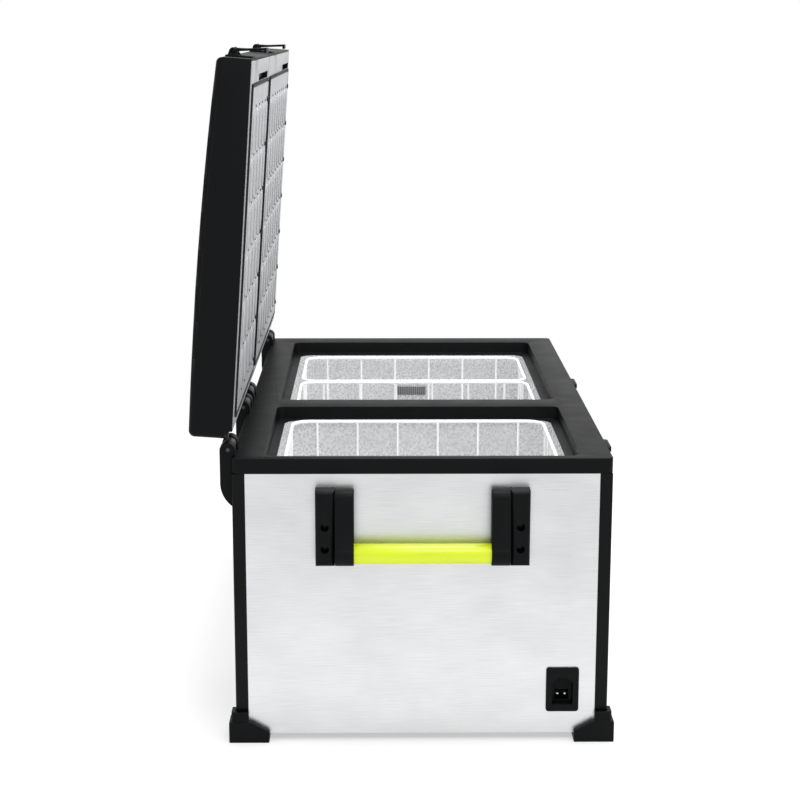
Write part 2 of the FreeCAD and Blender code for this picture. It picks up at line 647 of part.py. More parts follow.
def build_corner_feet():
    """Moulded feet that cup the bottom corners, with a low collar round each post."""
    for end, along in ENDS.items():
        for side, across in SIDES.items():
            body = new_body(f"corner_foot_{end}_{side}")

            def over(distance):
                return f"{across} * ({SIDE} + Size.foot_overhang - {distance})"

            def out(distance):
                return f"{along} * ({END} + Size.foot_overhang - {distance})"

            far, flat = "Size.foot_size", "Size.foot_flat"
            slab = rectangle((over(0), over(far)), (out(0), out(far)))
            extrude(body, "XY", "0", "Size.base_height", [slab])
            for plane, place, lip in (("XZ", over, out), ("YZ", out, over)):
                wall = [
                    (place(0), "0"),
                    (place(far), "0"),
                    (place(far), "Size.foot_toe"),
                    (place(flat), "Size.foot_wall"),
                    (place(0), "Size.foot_wall"),
                ]
                extrude(body, plane, lip(0), lip("Size.foot_overhang"), [wall])
            step = "(Size.foot_overhang - Size.collar_overhang)"
            post = "(Size.foot_overhang + Size.post_width)"
            skin = "Size.foot_overhang"
            collar = [
                (over(step), out(step)),
                (over(post), out(step)),
                (over(post), out(skin)),
                (over(skin), out(skin)),
                (over(skin), out(post)),
                (over(step), out(post)),
            ]
            extrude(body, "XY", "Size.foot_wall", "Size.collar_height", [collar])
            round_edges(body, "Size.collar_corner", upright_at([(over(step), out(step))]))


# ---- cold boxes ---------------------------------------------------------------------------------------

LINERS = {
    "near": (NEAR_LINER, NEAR_WELL, "Size.near_floor"),
    "far": (FAR_LINER, FAR_WELL, "Size.far_floor"),
}
FLANGE = f"({RIM_FOOT} - Size.liner_gauge)"


def grown(pair, distance):
    return (f"({pair[0]} - {distance})", f"({pair[1]} + {distance})")


def rounded_box(body, x, y, z, radius, cut=False):
    """A box with rounded vertical edges, added to or taken from the body."""
    inset = [(x[0], y[0]), (x[1], y[0]), (x[1], y[1]), (x[0], y[1])]
    points = []
    for index, (px, py) in enumerate(inset):
        before, after = inset[index - 1], inset[(index + 1) % 4]
        for toward, extra in ((before, (radius, 1)), (after, ())):
            dx = number(toward[0]) - number(px)
            dy = number(toward[1]) - number(py)
            step_x = math.copysign(1, dx) if abs(dx) > 0.001 else 0
            step_y = math.copysign(1, dy) if abs(dy) > 0.001 else 0
            points.append((f"({px} + {step_x} * {radius})", f"({py} + {step_y} * {radius})", *extra))
    extrude(body, "XY", *z, [points], cut=cut)


def tub_cells(x, y, z, corner, wall):
    """The regions of an open tub: its floor, its four walls and its four rounded corners."""
    x_lines = (x[0], f"({x[0]} + {corner})", f"({x[1]} - {corner})", x[1])
    y_lines = (y[0], f"({y[0]} + {corner})", f"({y[1]} - {corner})", y[1])
    floor = (x, y, (z[0], f"({z[0]} + {wall})"))
    return [floor] + border_cells(x_lines, y_lines, (f"({z[0]} + {wall})", z[1]))


def border_cells(x_lines, y_lines, z):
    """Eight regions round a rectangular middle: four corners and the four runs between them."""
    fields = [(x, y) for x in zip(x_lines, x_lines[1:]) for y in zip(y_lines, y_lines[1:])]
    del fields[4]
    return [(*field, z) for field in fields]


def panels(label, whole, cells):
    """Hand in a formed piece as its panels, which meet face to face."""
    members = []
    for x, y, z in cells:
        panel = doc.addObject("Part::MultiCommon", f"{label}_panel")
        panel.Shapes = [whole, block(f"{label}_cell", x, y, z)]
        members.append(panel)
    group(label, members)


def build_liners():
    """Deep-drawn aluminium tubs with a flange that the top frame clamps."""
    for name, (span, well, floor) in LINERS.items():
        label = f"liner_{name}"
        body = member_body(f"{label}_tub")
        outside = (grown(both(LINER_SIDE), "Size.liner_gauge"), grown(span, "Size.liner_gauge"))
        depth = (f"({floor} - Size.liner_gauge)", RIM_FOOT)
        rounded_box(body, *outside, depth, "(Size.liner_corner + Size.liner_gauge)")
        rim = (grown(both(WELL_SIDE), "Size.liner_lap"), grown(well, "Size.liner_lap"))
        extrude(body, "XY", FLANGE, RIM_FOOT, [rectangle(*rim)])
        rounded_box(body, both(LINER_SIDE), span, (floor, RIM_FOOT), "Size.liner_corner", cut=True)
        corner = "(Size.liner_corner + Size.liner_gauge)"
        cells = tub_cells(*outside, (depth[0], FLANGE), corner, "Size.liner_gauge")
        inner_lines = [grown(pair, f"-{corner}") for pair in outside]
        rim_lines = [(edge[0], *inner, edge[1]) for edge, inner in zip(rim, inner_lines)]
        cells += border_cells(*rim_lines, (FLANGE, RIM_FOOT))
        panels(label, body, cells)


SLEEVE_IN = "(Size.liner_gauge + Size.slip_gap)"
SLEEVE_OUT = f"({SLEEVE_IN} + Size.evaporator_gauge)"
POCKET = f"({SLEEVE_OUT} + Size.slip_gap)"
SLEEVE_TOP = f"({FLANGE} - Size.evaporator_drop)"


def build_evaporators():
    """Evaporator sheets wrapped round the liners."""
    sleeves = []
    for name, (span, _, floor) in LINERS.items():
        body = member_body(f"evaporator_{name}")
        sleeves.append(body)
        for reach, cut in ((SLEEVE_OUT, False), (SLEEVE_IN, True)):
            sides = (grown(both(LINER_SIDE), reach), grown(span, reach))
            rounded_box(body, *sides, (floor, SLEEVE_TOP), f"(Size.liner_corner + {reach})", cut=cut)
    group("evaporators", sleeves)


def build_foam():
    """The insulation round the liners, over and beside the machine bay."""
    body = new_body("foam_insulation")
    top = f"({FLANGE} - Size.slip_gap)"
    extrude(body, "XY", PAN_TOP, top, [rectangle(both(INNER_SIDE), both(INNER_END))])
    bay = rectangle(both(INNER_SIDE), (f"(-{INNER_END})", BAY_END))
    extrude(body, "XY", PAN_TOP, BAY_TOP, [bay], cut=True)
    for span, _, floor in LINERS.values():
        base = f"({floor} - Size.liner_gauge - Size.slip_gap)"
        sides = (grown(both(LINER_SIDE), POCKET), grown(span, POCKET))
        rounded_box(body, *sides, (base, top), f"(Size.liner_corner + {POCKET})", cut=True)
    room = "2 * Size.pocket_gap - 2 * Size.console_border"
    along = about("Size.console_place", f"(Size.console_length + {room})")
    up = about("Size.console_height", f"(Size.console_tall + {room})")
    behind = f"({SHEET_SIDE} - Size.console_depth - Size.console_room)"
    extrude(body, "YZ", behind, INNER_SIDE, [rectangle(along, up)], cut=True)
    tips = [(x, z, "(Size.screw_radius + Size.pocket_gap)") for x, z in screw_places()]
    for end in ENDS.values():
        bottom = f"{end} * ({INNER_END} - Size.screw_tip)"
        extrude(body, "XZ", bottom, f"{end} * {INNER_END}", circles=tips, cut=True)


BASKETS = {
    "basket_near": (
        "Size.near_basket_length",
        f"({NEAR_WELL[1]} - Size.near_basket_inset)",
        "Size.near_floor",
    ),
    "basket_far": (
        "Size.far_basket_length",
        f"({FAR_WELL[1]} - Size.far_basket_inset)",
        "Size.far_floor",
    ),
    "basket_middle": (
        "Size.far_basket_length",
        f"({FAR_WELL[1]} - Size.far_basket_inset - Size.far_basket_length - Size.basket_gap)",
        "Size.far_floor",
    ),
}


def basket_bays(centre, length, corner):
    """Open bays between a wall's bars: as many as fit between its corners, even about its middle."""
    room = number(f"(({length}) - 2 * {corner}) / Size.basket_pitch")
    reach = max((math.floor(room) - 1) // 2, 0)
    width = "(Size.basket_pitch - Size.basket_wire)"
    return [about(f"({centre} + {index} * Size.basket_pitch)", width) for index in range(-reach, reach + 1)]


def build_baskets():
    """Lift-out wire baskets, drawn as welded panels of thin square bars between open bays."""
    wire = "Size.basket_wire"
    corner = f"(4 * {wire})"
    half = "(Size.basket_width / 2)"
    for label, (length, end, floor) in BASKETS.items():
        tub = member_body(f"{label}_tub")
        foot = f"({floor} + Size.slip_gap)"
        height = (foot, "Size.basket_rim")
        span = (f"({end} - {length})", end)
        outline = rectangle(both(half), span)
        extrude(tub, "XY", *height, [outline])
        round_edges(tub, corner, upright_at(outline))
        inner = (grown(both(half), f"-{wire}"), grown(span, f"-{wire}"))
        rounded_box(tub, *inner, (f"({foot} + {wire})", "Size.basket_rim"), f"(3 * {wire})", cut=True)
        rise = (f"({foot} + 2 * {wire})", f"(Size.basket_rim - 2 * {wire})")
        bays = basket_bays("0", "Size.basket_width", corner)
        extrude(tub, "XZ", *span, [rectangle(bay, rise) for bay in bays], cut=True)
        middle = f"(({span[0]} + {span[1]}) / 2)"
        side_bays = basket_bays(middle, length, corner)
        extrude(tub, "YZ", *both(half), [rectangle(bay, rise) for bay in side_bays], cut=True)
        floor_bays = [rectangle(across, along) for across in bays for along in side_bays]
        extrude(tub, "XY", foot, f"({foot} + {wire})", floor_bays, cut=True)
        panels(label, tub, tub_cells(both(half), span, height, corner, wire))


def build_cabin_light():
    """The light on the deep compartment's far wall."""
    body = new_body("cabin_light")
    y = (f"({FAR_LINER[1]} - Size.lamp_depth)", FAR_LINER[1])
    face = rectangle(both("(Size.lamp_length / 2)"), about("Size.lamp_height", "Size.lamp_tall"))
    extrude(body, "XZ", *y, [face])
    front = number(y[0])
    round_edges(body, "Size.lamp_depth / 4", lambda middle, run: abs(middle.y - front) < 0.01, bevel=True)


# ---- lids ---------------------------------------------------------------------------------------------


def lid_profile(inset):
    """The lid's section: flat underside, rebated rear foot, and a crowned top that falls to the front."""
    rear = f"({LID_REAR} + {inset})"
    front = f"({LID_FRONT} - {inset})"
    notch = f"({rear} + Size.lid_notch_depth)"
    base = LID_BASE
    step = f"({LID_BASE} + Size.lid_notch_height + {inset})"
    rear_top = f"({LID_BASE} + Size.lid_rear_height - {inset})"
    front_top = f"({LID_BASE} + Size.lid_front_height - {inset})"
    crown = f"(Size.lid_crown_radius - {inset})"
    return [
        (notch, base),
        (front, base),
        (front, front_top, crown, 1),
        (rear, rear_top),
        (rear, step),
        (notch, step),
    ]


def build_lid_shells():
    """Moulded black lid covers, hollow and open underneath."""
    for name, (lid, _) in LIDS.items():
        body = new_body(f"lid_shell_{name}")
        extrude(body, "XZ", *lid, [lid_profile("0")])
        top = number(LID_BASE) + number("Size.lid_front_height") / 2
        ends = [number(place) for place in lid]

        def outer_edge(middle, run):
            at_end = any(abs(middle.y - end) < 0.01 for end in ends)
            along_top = abs(run.y) > 0.99 and middle.z > top
            return (at_end and middle.z > top) or along_top

        round_edges(body, "Size.lid_edge", outer_edge)
        hollow = grown(lid, "-Size.lid_wall")
        extrude(body, "XZ", *hollow, [lid_profile("Size.lid_wall")], cut=True)
        body.Placement = LID_OPEN


PLATE = (f"({LID_REAR} + Size.lid_notch_depth + Size.lid_wall)", f"({LID_FRONT} - Size.lid_wall)")
PLATE_BASE = f"({LID_BASE} - Size.lid_plate_drop)"
PLATE_TOP = f"({PLATE_BASE} + Size.lid_plate_gauge)"
PLUG_ACROSS = (f"(-{WELL_SIDE} + Size.plug_inset)", f"({WELL_SIDE} + Size.plug_reach)")
PLUG_BASE = "(Size.rim_height + Size.plug_gap)"


def lid_pocket(lid, margin):
    """The narrow pocket in front of the raised panel, near the lid's far end, grown by a margin."""
    start = f"({PLUG_ACROSS[1]} + Size.slip_gap + Size.gasket_width + Size.plug_gap)"
    end = f"({lid[1]} - Size.pocket_inset)"
    across = (start, f"({start} + Size.pocket_width)")
    return grown(across, margin), grown((f"({end} - Size.pocket_length)", end), margin)


def build_lid_panels():
    """Inner lid plates with a low raised panel over the opening and a narrow pocket in front of it."""
    gauge = "Size.lid_plate_gauge"
    for name, (lid, well) in LIDS.items():
        body = new_body(f"lid_panel_{name}")
        raised = grown(well, "-Size.plug_inset")
        extrude(body, "XY", PLUG_BASE, PLATE_BASE, [rectangle(PLUG_ACROSS, raised)])
        low = number(PLUG_BASE)
        span = grown(lid, "-Size.lid_wall")
        extrude(body, "XY", PLATE_BASE, PLATE_TOP, [rectangle(PLATE, span)])
        round_edges(body, "Size.plug_edge", lambda middle, run: abs(middle.z - low) < 0.01, bevel=True)
        floor = f"({PLATE_BASE} + Size.pocket_depth)"
        box = lid_pocket(lid, gauge)
        extrude(body, "XY", PLATE_TOP, f"({floor} + {gauge})", [rectangle(*box)])
        extrude(body, "XY", PLATE_BASE, floor, [rectangle(*lid_pocket(lid, "0"))], cut=True)
        body.Placement = LID_OPEN


def build_lid_foam():
    """The insulation inside each lid."""
    gap = "Size.slip_gap"
    for name, (lid, _) in LIDS.items():
        body = new_body(f"lid_foam_{name}")
        span = grown(lid, f"-(Size.lid_wall + {gap})")
        extrude(body, "XZ", *span, [lid_profile(f"(Size.lid_wall + {gap})")])
        under = rectangle((LID_REAR, LID_FRONT), lid)
        extrude(body, "XY", PLATE_BASE, f"({PLATE_TOP} + {gap})", [under], cut=True)
        ceiling = f"({PLATE_BASE} + Size.pocket_depth + Size.lid_plate_gauge + {gap})"
        pocket = rectangle(*lid_pocket(lid, f"(Size.lid_plate_gauge + {gap})"))
        extrude(body, "XY", f"({PLATE_TOP} + {gap})", ceiling, [pocket], cut=True)
        body.Placement = LID_OPEN


def build_lid_gaskets():
    """Seals round the raised panels, which close on the frame just outside its openings."""
    for name, (lid, well) in LIDS.items():
        body = new_body(f"lid_gasket_{name}")
        inner = (grown(PLUG_ACROSS, "Size.slip_gap"), grown(well, "(Size.slip_gap - Size.plug_inset)"))
        outer = tuple(grown(pair, "Size.gasket_width") for pair in inner)
        z = ("(Size.rim_height + Size.slip_gap)", PLATE_BASE)
        extrude(body, "XY", *z, [rectangle(*outer)])
        extrude(body, "XY", *z, [rectangle(*inner)], cut=True)
        body.Placement = LID_OPEN


# ---- hinges -------------------------------------------------------------------------------------------


def build_hinge_brackets():
    """Hinge blocks on the casing, each with two ears round the pin and a gap for the lid's knuckle."""
    reach = "Size.hinge_reach"
    foot = "(Size.rim_height - Size.hinge_drop)"
    wall = f"(-{SIDE})"
    inner = f"({HINGE_X} + Size.hinge_inner)"
    outer = f"({HINGE_X} - {reach})"
    over = "(Size.rim_height + Size.slip_gap)"
    outline = [
        (wall, foot),
        (wall, over),
        (inner, over),
        (inner, HINGE_Z, "Size.hinge_crown", 1),
        (outer, HINGE_Z),
        (outer, f"({foot} + Size.hinge_taper_height)", "Size.hinge_taper_radius", 1),
    ]
    brackets = []
    for name, places in HINGES.items():
        for order, place in zip(("near", "far"), places):
            body = member_body(f"hinge_bracket_{name}_lid_{order}")
            brackets.append(body)
            extrude(body, "XZ", *about(place, "Size.hinge_length"), [outline])
            gap = f"({HINGE_Z} - Size.knuckle_radius - Size.knuckle_room)"
            slot = rectangle(grown((outer, inner), "Size.leaf_gauge"), (gap, f"({HINGE_Z} + 2 * {reach})"))
            extrude(body, "XZ", *about(place, "(Size.knuckle_width + Size.knuckle_play)"), [slot], cut=True)
            bore = (HINGE_X, HINGE_Z, "(Size.hinge_pin_radius + Size.press_gap)")
            extrude(body, "XZ", *about(place, "Size.hinge_length"), circles=[bore], cut=True)
    group("hinge_brackets", brackets)


def build_hinge_pins():
    pins = []
    for places in HINGES.values():
        for place in places:
            start = (HINGE_X, f"({place} - Size.hinge_length / 2)", HINGE_Z)
            pins.append(rod("HingePin", "y", start, "Size.hinge_pin_radius", "Size.hinge_length"))
    group("hinge_pins", pins)


def build_lid_leaves():
    """The lid's half of each hinge: a knuckle round the pin and a plate in the lid's rear rebate."""
    for name, places in HINGES.items():
        leaves = []
        for order, place in zip(("near", "far"), places):
            body = member_body(f"hinge_leaf_{name}_lid_{order}")
            leaves.append(body)
            along = about(place, "Size.knuckle_width")
            extrude(body, "XZ", *along, circles=[(HINGE_X, HINGE_Z, "Size.knuckle_radius")])
            top = f"({LID_BASE} + Size.lid_notch_height)"
            end = f"({LID_REAR} + Size.lid_notch_depth)"
            plate = rectangle((HINGE_X, end), (f"({top} - Size.leaf_gauge)", top))
            extrude(body, "XZ", *along, [plate])
            bore = (HINGE_X, HINGE_Z, "(Size.hinge_pin_radius + Size.running_gap)")
            extrude(body, "XZ", *along, circles=[bore], cut=True)
            body.Placement = LID_OPEN
        group(f"hinge_leaves_{name}", leaves)


# ---- latches ------------------------------------------------------------------------------------------


def build_latch_bases():
    """Plates on the lid fronts with two ears that carry the lever."""
    for name, place in LATCHES.items():
        body = new_body(f"latch_base_{name}")
        width = about(place, "(Size.latch_width + 2 * Size.latch_plate_border)")
        plate = rectangle(
            (LID_FRONT, f"({LID_FRONT} + Size.latch_plate_gauge)"),
            (f"({PIVOT_Z} - Size.latch_plate_below)", f"({PIVOT_Z} + Size.latch_plate_above)"),
        )
        extrude(body, "XZ", *width, [plate])
        reach = "(Size.latch_barrel + Size.latch_ear_over)"
        ear = [
            (LID_FRONT, f"({PIVOT_Z} - Size.latch_ear_root)"),
            (f"({PIVOT_X} + {reach})", PIVOT_Z, reach, 1),
            (PIVOT_X, f"({PIVOT_Z} + {reach})"),
            (LID_FRONT, f"({PIVOT_Z} + Size.latch_ear_root)"),
        ]
        low, high = about(place, "Size.latch_width")
        for side in ((low, f"({low} + Size.latch_ear)"), (f"({high} - Size.latch_ear)", high)):
            extrude(body, "XZ", *side, [ear])
        bore = (PIVOT_X, PIVOT_Z, "(Size.latch_trunnion + Size.running_gap)")
        extrude(body, "XZ", low, high, circles=[bore], cut=True)
        body.Placement = LID_OPEN


KEEPER_TOP = "(Size.rim_height - Size.keeper_drop)"
KEEPER_FOOT = f"({KEEPER_TOP} - Size.keeper_height)"
HOOK_IN = f"({SIDE} + Size.keeper_out + Size.hook_gap)"
HOOK_OUT = f"({HOOK_IN} + Size.hook_gauge)"
HOOK_TOP = f"({KEEPER_FOOT} - Size.hook_gap)"
HOOK_FOOT = f"({HOOK_TOP} - Size.hook_gauge)"


def build_latch_levers():
    """Pull levers with a finger slot and a hook that reaches under the keeper."""
    for name, place in LATCHES.items():
        body = new_body(f"latch_lever_{name}")
        along = about(place, "(Size.latch_width - 2 * Size.latch_ear - 2 * Size.slip_gap)")
        extrude(body, "XZ", *along, circles=[(PIVOT_X, PIVOT_Z, "Size.latch_barrel")])
        skirt = f"({PIVOT_X} + Size.latch_barrel)"
        knee = f"({PIVOT_Z} - Size.lever_knee)"
        tip = f"({SIDE} + Size.hook_tip_gap)"
        lever = [
            (PIVOT_X, f"({PIVOT_Z} - Size.latch_barrel)"),
            (HOOK_IN, knee),
            (HOOK_IN, HOOK_TOP),
            (tip, HOOK_TOP),
            (tip, HOOK_FOOT),
            (HOOK_OUT, HOOK_FOOT),
            (HOOK_OUT, knee),
            (skirt, PIVOT_Z),
            (PIVOT_X, PIVOT_Z),
        ]
        extrude(body, "XZ", *along, [lever])
        slot_top = f"({PIVOT_Z} - Size.finger_slot_top)"
        slot_height = (f"({slot_top} - Size.finger_slot_height)", slot_top)
        slot = rectangle(about(place, "Size.finger_slot_length"), slot_height)
        extrude(body, "YZ", LID_FRONT, f"({HOOK_OUT} + Size.hook_gauge)", [slot], cut=True)
        pin = (PIVOT_X, PIVOT_Z, "Size.latch_trunnion")
        extrude(body, "XZ", *about(place, "(Size.latch_width - 2 * Size.trunnion_inset)"), circles=[pin])
        body.Placement = LID_OPEN.multiply(LATCH_FREE)


def build_latch_keepers():
    """Catches on the latch side of the frame, under which the hooks close."""
    keepers = []
    for name, place in LATCHES.items():
        body = member_body(f"latch_keeper_{name}")
        keepers.append(body)
        width = about(place, "Size.latch_width")
        skin = (SIDE, f"({SIDE} + Size.keeper_skin)")
        extrude(body, "XY", f"({RIM_FOOT} + Size.keeper_inset)", KEEPER_TOP, [rectangle(skin, width)])
        lip = rectangle((SIDE, f"({SIDE} + Size.keeper_out)"), width)
        extrude(body, "XY", KEEPER_FOOT, KEEPER_TOP, [lip])
        nose = number(f"{SIDE} + Size.keeper_out")

        def outer_corner(middle, run):
            return abs(run.z) > 0.99 and abs(middle.x - nose) < 0.01

        round_edges(body, "Size.keeper_round", outer_corner)
    group("latch_keepers", keepers)


# ---- carry handles ------------------------------------------------------------------------------------


def build_handle_mounts():
    """Fixed side blocks of the carry handles, with screw recesses and the pivot's bore."""
    _, centre = handle_centres()
    for end, along in ENDS.items():
        mounts = []
        for side, across in (("left", -1), ("right", 1)):
            body = member_body(f"handle_mount_{end}_{side}")
            mounts.append(body)
            width = about(f"{across} * {centre}", "Size.mount_width")
            skin = f"{along} * {SHEET_END}"
            face = f"{along} * ({SHEET_END} + Size.mount_depth)"
            top = "(Size.pivot_height + Size.pivot_boss)"
            extrude(body, "XZ", skin, face, [rectangle(width, ("Size.mount_foot", top))])
            front = number(face)
            round_edges(body, "Size.mount_depth / 4", lambda middle, run: abs(middle.y - front) < 0.01)
            recess = [(x, z, "Size.screw_recess") for x, z in screw_places()]
            here = [item for item in recess if number(item[0]) * across > 0]
            floor = f"{along} * ({SHEET_END} + Size.screw_seat)"
            extrude(body, "XZ", floor, face, circles=here, cut=True)
            shank = [(x, z, "(Size.screw_radius + Size.press_gap)") for x, z, _ in here]
            extrude(body, "XZ", skin, face, circles=shank, cut=True)
            pivot = f"{along} * ({SHEET_END} + Size.pivot_out)"
            pin = (pivot, "Size.pivot_height", "(Size.pivot_pin_radius + Size.press_gap)")
            extrude(body, "YZ", *width, circles=[pin], cut=True)
        group(f"handle_mounts_{end}", mounts)


def build_handle_arms():
    """Swinging arms: a boss on the pivot pin at the top, an eye round the grip tube at the bottom."""
    centre, _ = handle_centres()
    for end, along in ENDS.items():
        arms = []
        for side, across in (("left", -1), ("right", 1)):
            body = member_body(f"handle_arm_{end}_{side}")
            arms.append(body)
            width = about(f"{across} * {centre}", "Size.arm_width")
            pivot = (f"{along} * ({SHEET_END} + Size.pivot_out)", "Size.pivot_height")
            tube = (f"{along} * ({SHEET_END} + Size.grip_out)", "Size.grip_height")
            extrude(body, "YZ", *width, circles=[(*pivot, "Size.pivot_boss")])
            extrude(body, "YZ", *width, circles=[(*tube, "Size.arm_radius")])
            strip = [
                (f"({pivot[0]} - Size.arm_neck_top)", pivot[1]),
                (f"({tube[0]} - Size.arm_neck_foot)", tube[1]),
                (f"({tube[0]} + Size.arm_neck_foot)", tube[1]),
                (f"({pivot[0]} + Size.arm_neck_top)", pivot[1]),
            ]
            extrude(body, "YZ", *width, [strip])
            inner = f"{across} * (Size.grip_length / 2)"
            seat = f"{across} * (Size.grip_length / 2 + Size.grip_seat)"
            socket = (*tube, "(Size.grip_radius + Size.press_gap)")
            extrude(body, "YZ", inner, seat, circles=[socket], cut=True)
            bore = (*pivot, "(Size.pivot_pin_radius + Size.running_gap)")
            extrude(body, "YZ", *width, circles=[bore], cut=True)
        group(f"handle_arms_{end}", arms)


def build_handle_grips():
    """Coloured grip tubes between the arms."""
    for end, along in ENDS.items():
        body = new_body(f"handle_grip_{end}")
        span = both("(Size.grip_length / 2 + Size.grip_seat)")
        axis = (f"{along} * ({SHEET_END} + Size.grip_out)", "Size.grip_height")
        extrude(body, "YZ", *span, circles=[(*axis, "Size.grip_radius")])
        extrude(body, "YZ", *span, circles=[(*axis, "(Size.grip_radius - Size.grip_wall)")], cut=True)


def build_handle_hardware():
    """Pivot pins and mounting screws of both carry handles."""
    pins = []
    screws = []
    outer = "(Size.grip_length / 2 + Size.arm_width + Size.arm_gap + Size.mount_width)"
    near_seat = f"(-{SHEET_END} - Size.screw_seat)"
    far_seat = f"({SHEET_END} + Size.screw_seat)"
    starts = {
        "near": (near_seat, f"({near_seat} - Size.screw_head_height)"),
        "far": (f"({SHEET_END} - Size.screw_reach)", far_seat),
    }
    shank_length = "(Size.screw_reach + Size.screw_seat)"
    for end, along in ENDS.items():
        pivot = f"{along} * ({SHEET_END} + Size.pivot_out)"
        inset = "Size.pivot_pin_inset"
        for start in (f"(-{outer} + {inset})", f"({outer} - {inset} - Size.pivot_pin_length)"):
            place = (start, pivot, "Size.pivot_height")
            pins.append(rod("PivotPin", "x", place, "Size.pivot_pin_radius", "Size.pivot_pin_length"))
        for x, z in screw_places():
            shank_start, cap_start = starts[end]
            shank = rod("ScrewShank", "y", (x, shank_start, z), "Size.screw_radius", shank_length)
            cap = rod("ScrewHead", "y", (x, cap_start, z), "Size.screw_head", "Size.screw_head_height")
            screws.append(fuse("HandleScrew", [shank, cap]))
    group("handle_pins", pins)
    group("handle_screws", screws)


# ---- electrics ----------------------------------------------------------------------------------------


INLET_SILL = "(Size.inlet_height - Size.inlet_tall / 2 + Size.inlet_border + Size.inlet_sill)"


def build_power_inlet():
    """A recessed inlet: flange, stepped recess with a bevelled head, and a contact chamber."""
    body = new_body("power_inlet")
    x, z = "Size.inlet_place", "Size.inlet_height"
    front = f"(-{SHEET_END} - Size.inlet_flange)"
    back = f"(-{SHEET_END} + Size.inlet_depth)"
    flange = rectangle(about(x, "Size.inlet_width"), about(z, "Size.inlet_tall"))
    extrude(body, "XZ", front, f"(-{SHEET_END})", [flange])
    round_edges(body, "Size.inlet_corner", lambda middle, run: abs(run.y) > 0.99)
    shell = rectangle(
        about(x, "(Size.inlet_width - Size.inlet_border)"),
        about(z, "(Size.inlet_tall - Size.inlet_border)"),
    )
    extrude(body, "XZ", f"(-{SHEET_END})", back, [shell])
    half = "(Size.inlet_width / 2 - Size.inlet_border)"
    head = f"({z} + Size.inlet_tall / 2 - Size.inlet_border - Size.inlet_head)"
    recess = [
        (f"({x} - {half})", INLET_SILL),
        (f"({x} + {half})", INLET_SILL),
        (f"({x} + {half})", f"({head} - Size.inlet_bevel)"),
        (f"({x} + {half} - Size.inlet_bevel)", head),
        (f"({x} - {half} + Size.inlet_bevel)", head),
        (f"({x} - {half})", f"({head} - Size.inlet_bevel)"),
    ]
    floor = f"(-{SHEET_END} + Size.inlet_step)"
    extrude(body, "XZ", front, floor, [recess], cut=True)
    chamber_foot = f"({INLET_SILL} + Size.inlet_sill)"
    chamber_height = (chamber_foot, f"({chamber_foot} + Size.chamber_height)")
    chamber = rectangle(about(x, "Size.chamber_width"), chamber_height)
    extrude(body, "XZ", floor, f"({back} - Size.inlet_wall)", [chamber], cut=True)


def build_inlet_pins():
    pins = []
    height = f"({INLET_SILL} + Size.inlet_pin_rise)"
    length = "(Size.inlet_depth - Size.inlet_wall - Size.inlet_pin_inset)"
    for place in about("Size.inlet_place", "Size.inlet_pin_pitch"):
        start = (place, f"(-{SHEET_END} + Size.inlet_pin_inset)", height)
        pins.append(rod("InletPin", "y", start, "Size.inlet_pin_radius", length))
    group("inlet_pins", pins)


CONSOLE_Y = about("Size.console_place", "Size.console_length")
CONSOLE_Z = about("Size.console_height", "Size.console_tall")
CONSOLE_FRONT = f"({SHEET_SIDE} + Size.console_face)"
CONSOLE_BACK = f"({SHEET_SIDE} - Size.console_depth)"
BOARD_FACE = f"({CONSOLE_BACK} + Size.board_gauge)"
WINDOW_Y = "(Size.console_place + Size.window_place)"
BUTTONS = {"button_power": 0, "button_minus": 1, "button_plus": 2}


def button_y(order):
    return f"(Size.console_place + Size.button_first + {order} * Size.button_pitch)"


def console_box(inset):
    """The outline behind the console's face, inset from the face's edge."""
    return rectangle(
        about("Size.console_place", f"(Size.console_length - 2 * ({inset}))"),
        about("Size.console_height", f"(Size.console_tall - 2 * ({inset}))"),
    )


def build_console():
    """The control panel: a face with openings for the window and buttons, and a shallow box behind."""
    body = new_body("control_panel")
    extrude(body, "YZ", SHEET_SIDE, CONSOLE_FRONT, [rectangle(CONSOLE_Y, CONSOLE_Z)])
    round_edges(body, "Size.console_corner", lambda middle, run: abs(run.x) > 0.99)
    extrude(body, "YZ", CONSOLE_BACK, SHEET_SIDE, [console_box("Size.console_border")])
    hollow = console_box("Size.console_border + Size.console_wall")
    extrude(body, "YZ", CONSOLE_BACK, SHEET_SIDE, [hollow], cut=True)
    gap = "2 * Size.slip_gap"
    window = rectangle(
        about(WINDOW_Y, f"(Size.window_length + {gap})"),
        about("Size.console_height", f"(Size.window_tall + {gap})"),
    )
    holes = [window]
    for order in BUTTONS.values():
        sides = f"(Size.button_size + {gap})"
        holes.append(rectangle(about(button_y(order), sides), about("Size.console_height", sides)))
    extrude(body, "YZ", SHEET_SIDE, CONSOLE_FRONT, holes, cut=True)


def build_display_window():
    body = new_body("display_window")
    face = rectangle(
        about(WINDOW_Y, "Size.window_length"),
        about("Size.console_height", "Size.window_tall"),
    )
    extrude(body, "YZ", SHEET_SIDE, f"({CONSOLE_FRONT} - Size.window_sink)", [face])


def build_control_board():
    """The circuit board across the back of the console, with its display and switches."""
    body = new_body("control_board")
    board = console_box("Size.console_border + Size.console_wall + Size.slip_gap")
    extrude(body, "YZ", CONSOLE_BACK, BOARD_FACE, [board])
    display = rectangle(
        about(WINDOW_Y, "(Size.window_length - 2 * Size.display_border)"),
        about("Size.console_height", "(Size.window_tall - 2 * Size.display_border)"),
    )
    extrude(body, "YZ", BOARD_FACE, f"({SHEET_SIDE} - Size.display_gap)", [display])
    height = about("Size.console_height", "Size.switch_size")
    switches = [rectangle(about(button_y(order), "Size.switch_size"), height) for order in BUTTONS.values()]
    top = f"({SHEET_SIDE} - Size.button_root - Size.button_travel - Size.slip_gap)"
    extrude(body, "YZ", BOARD_FACE, top, switches)


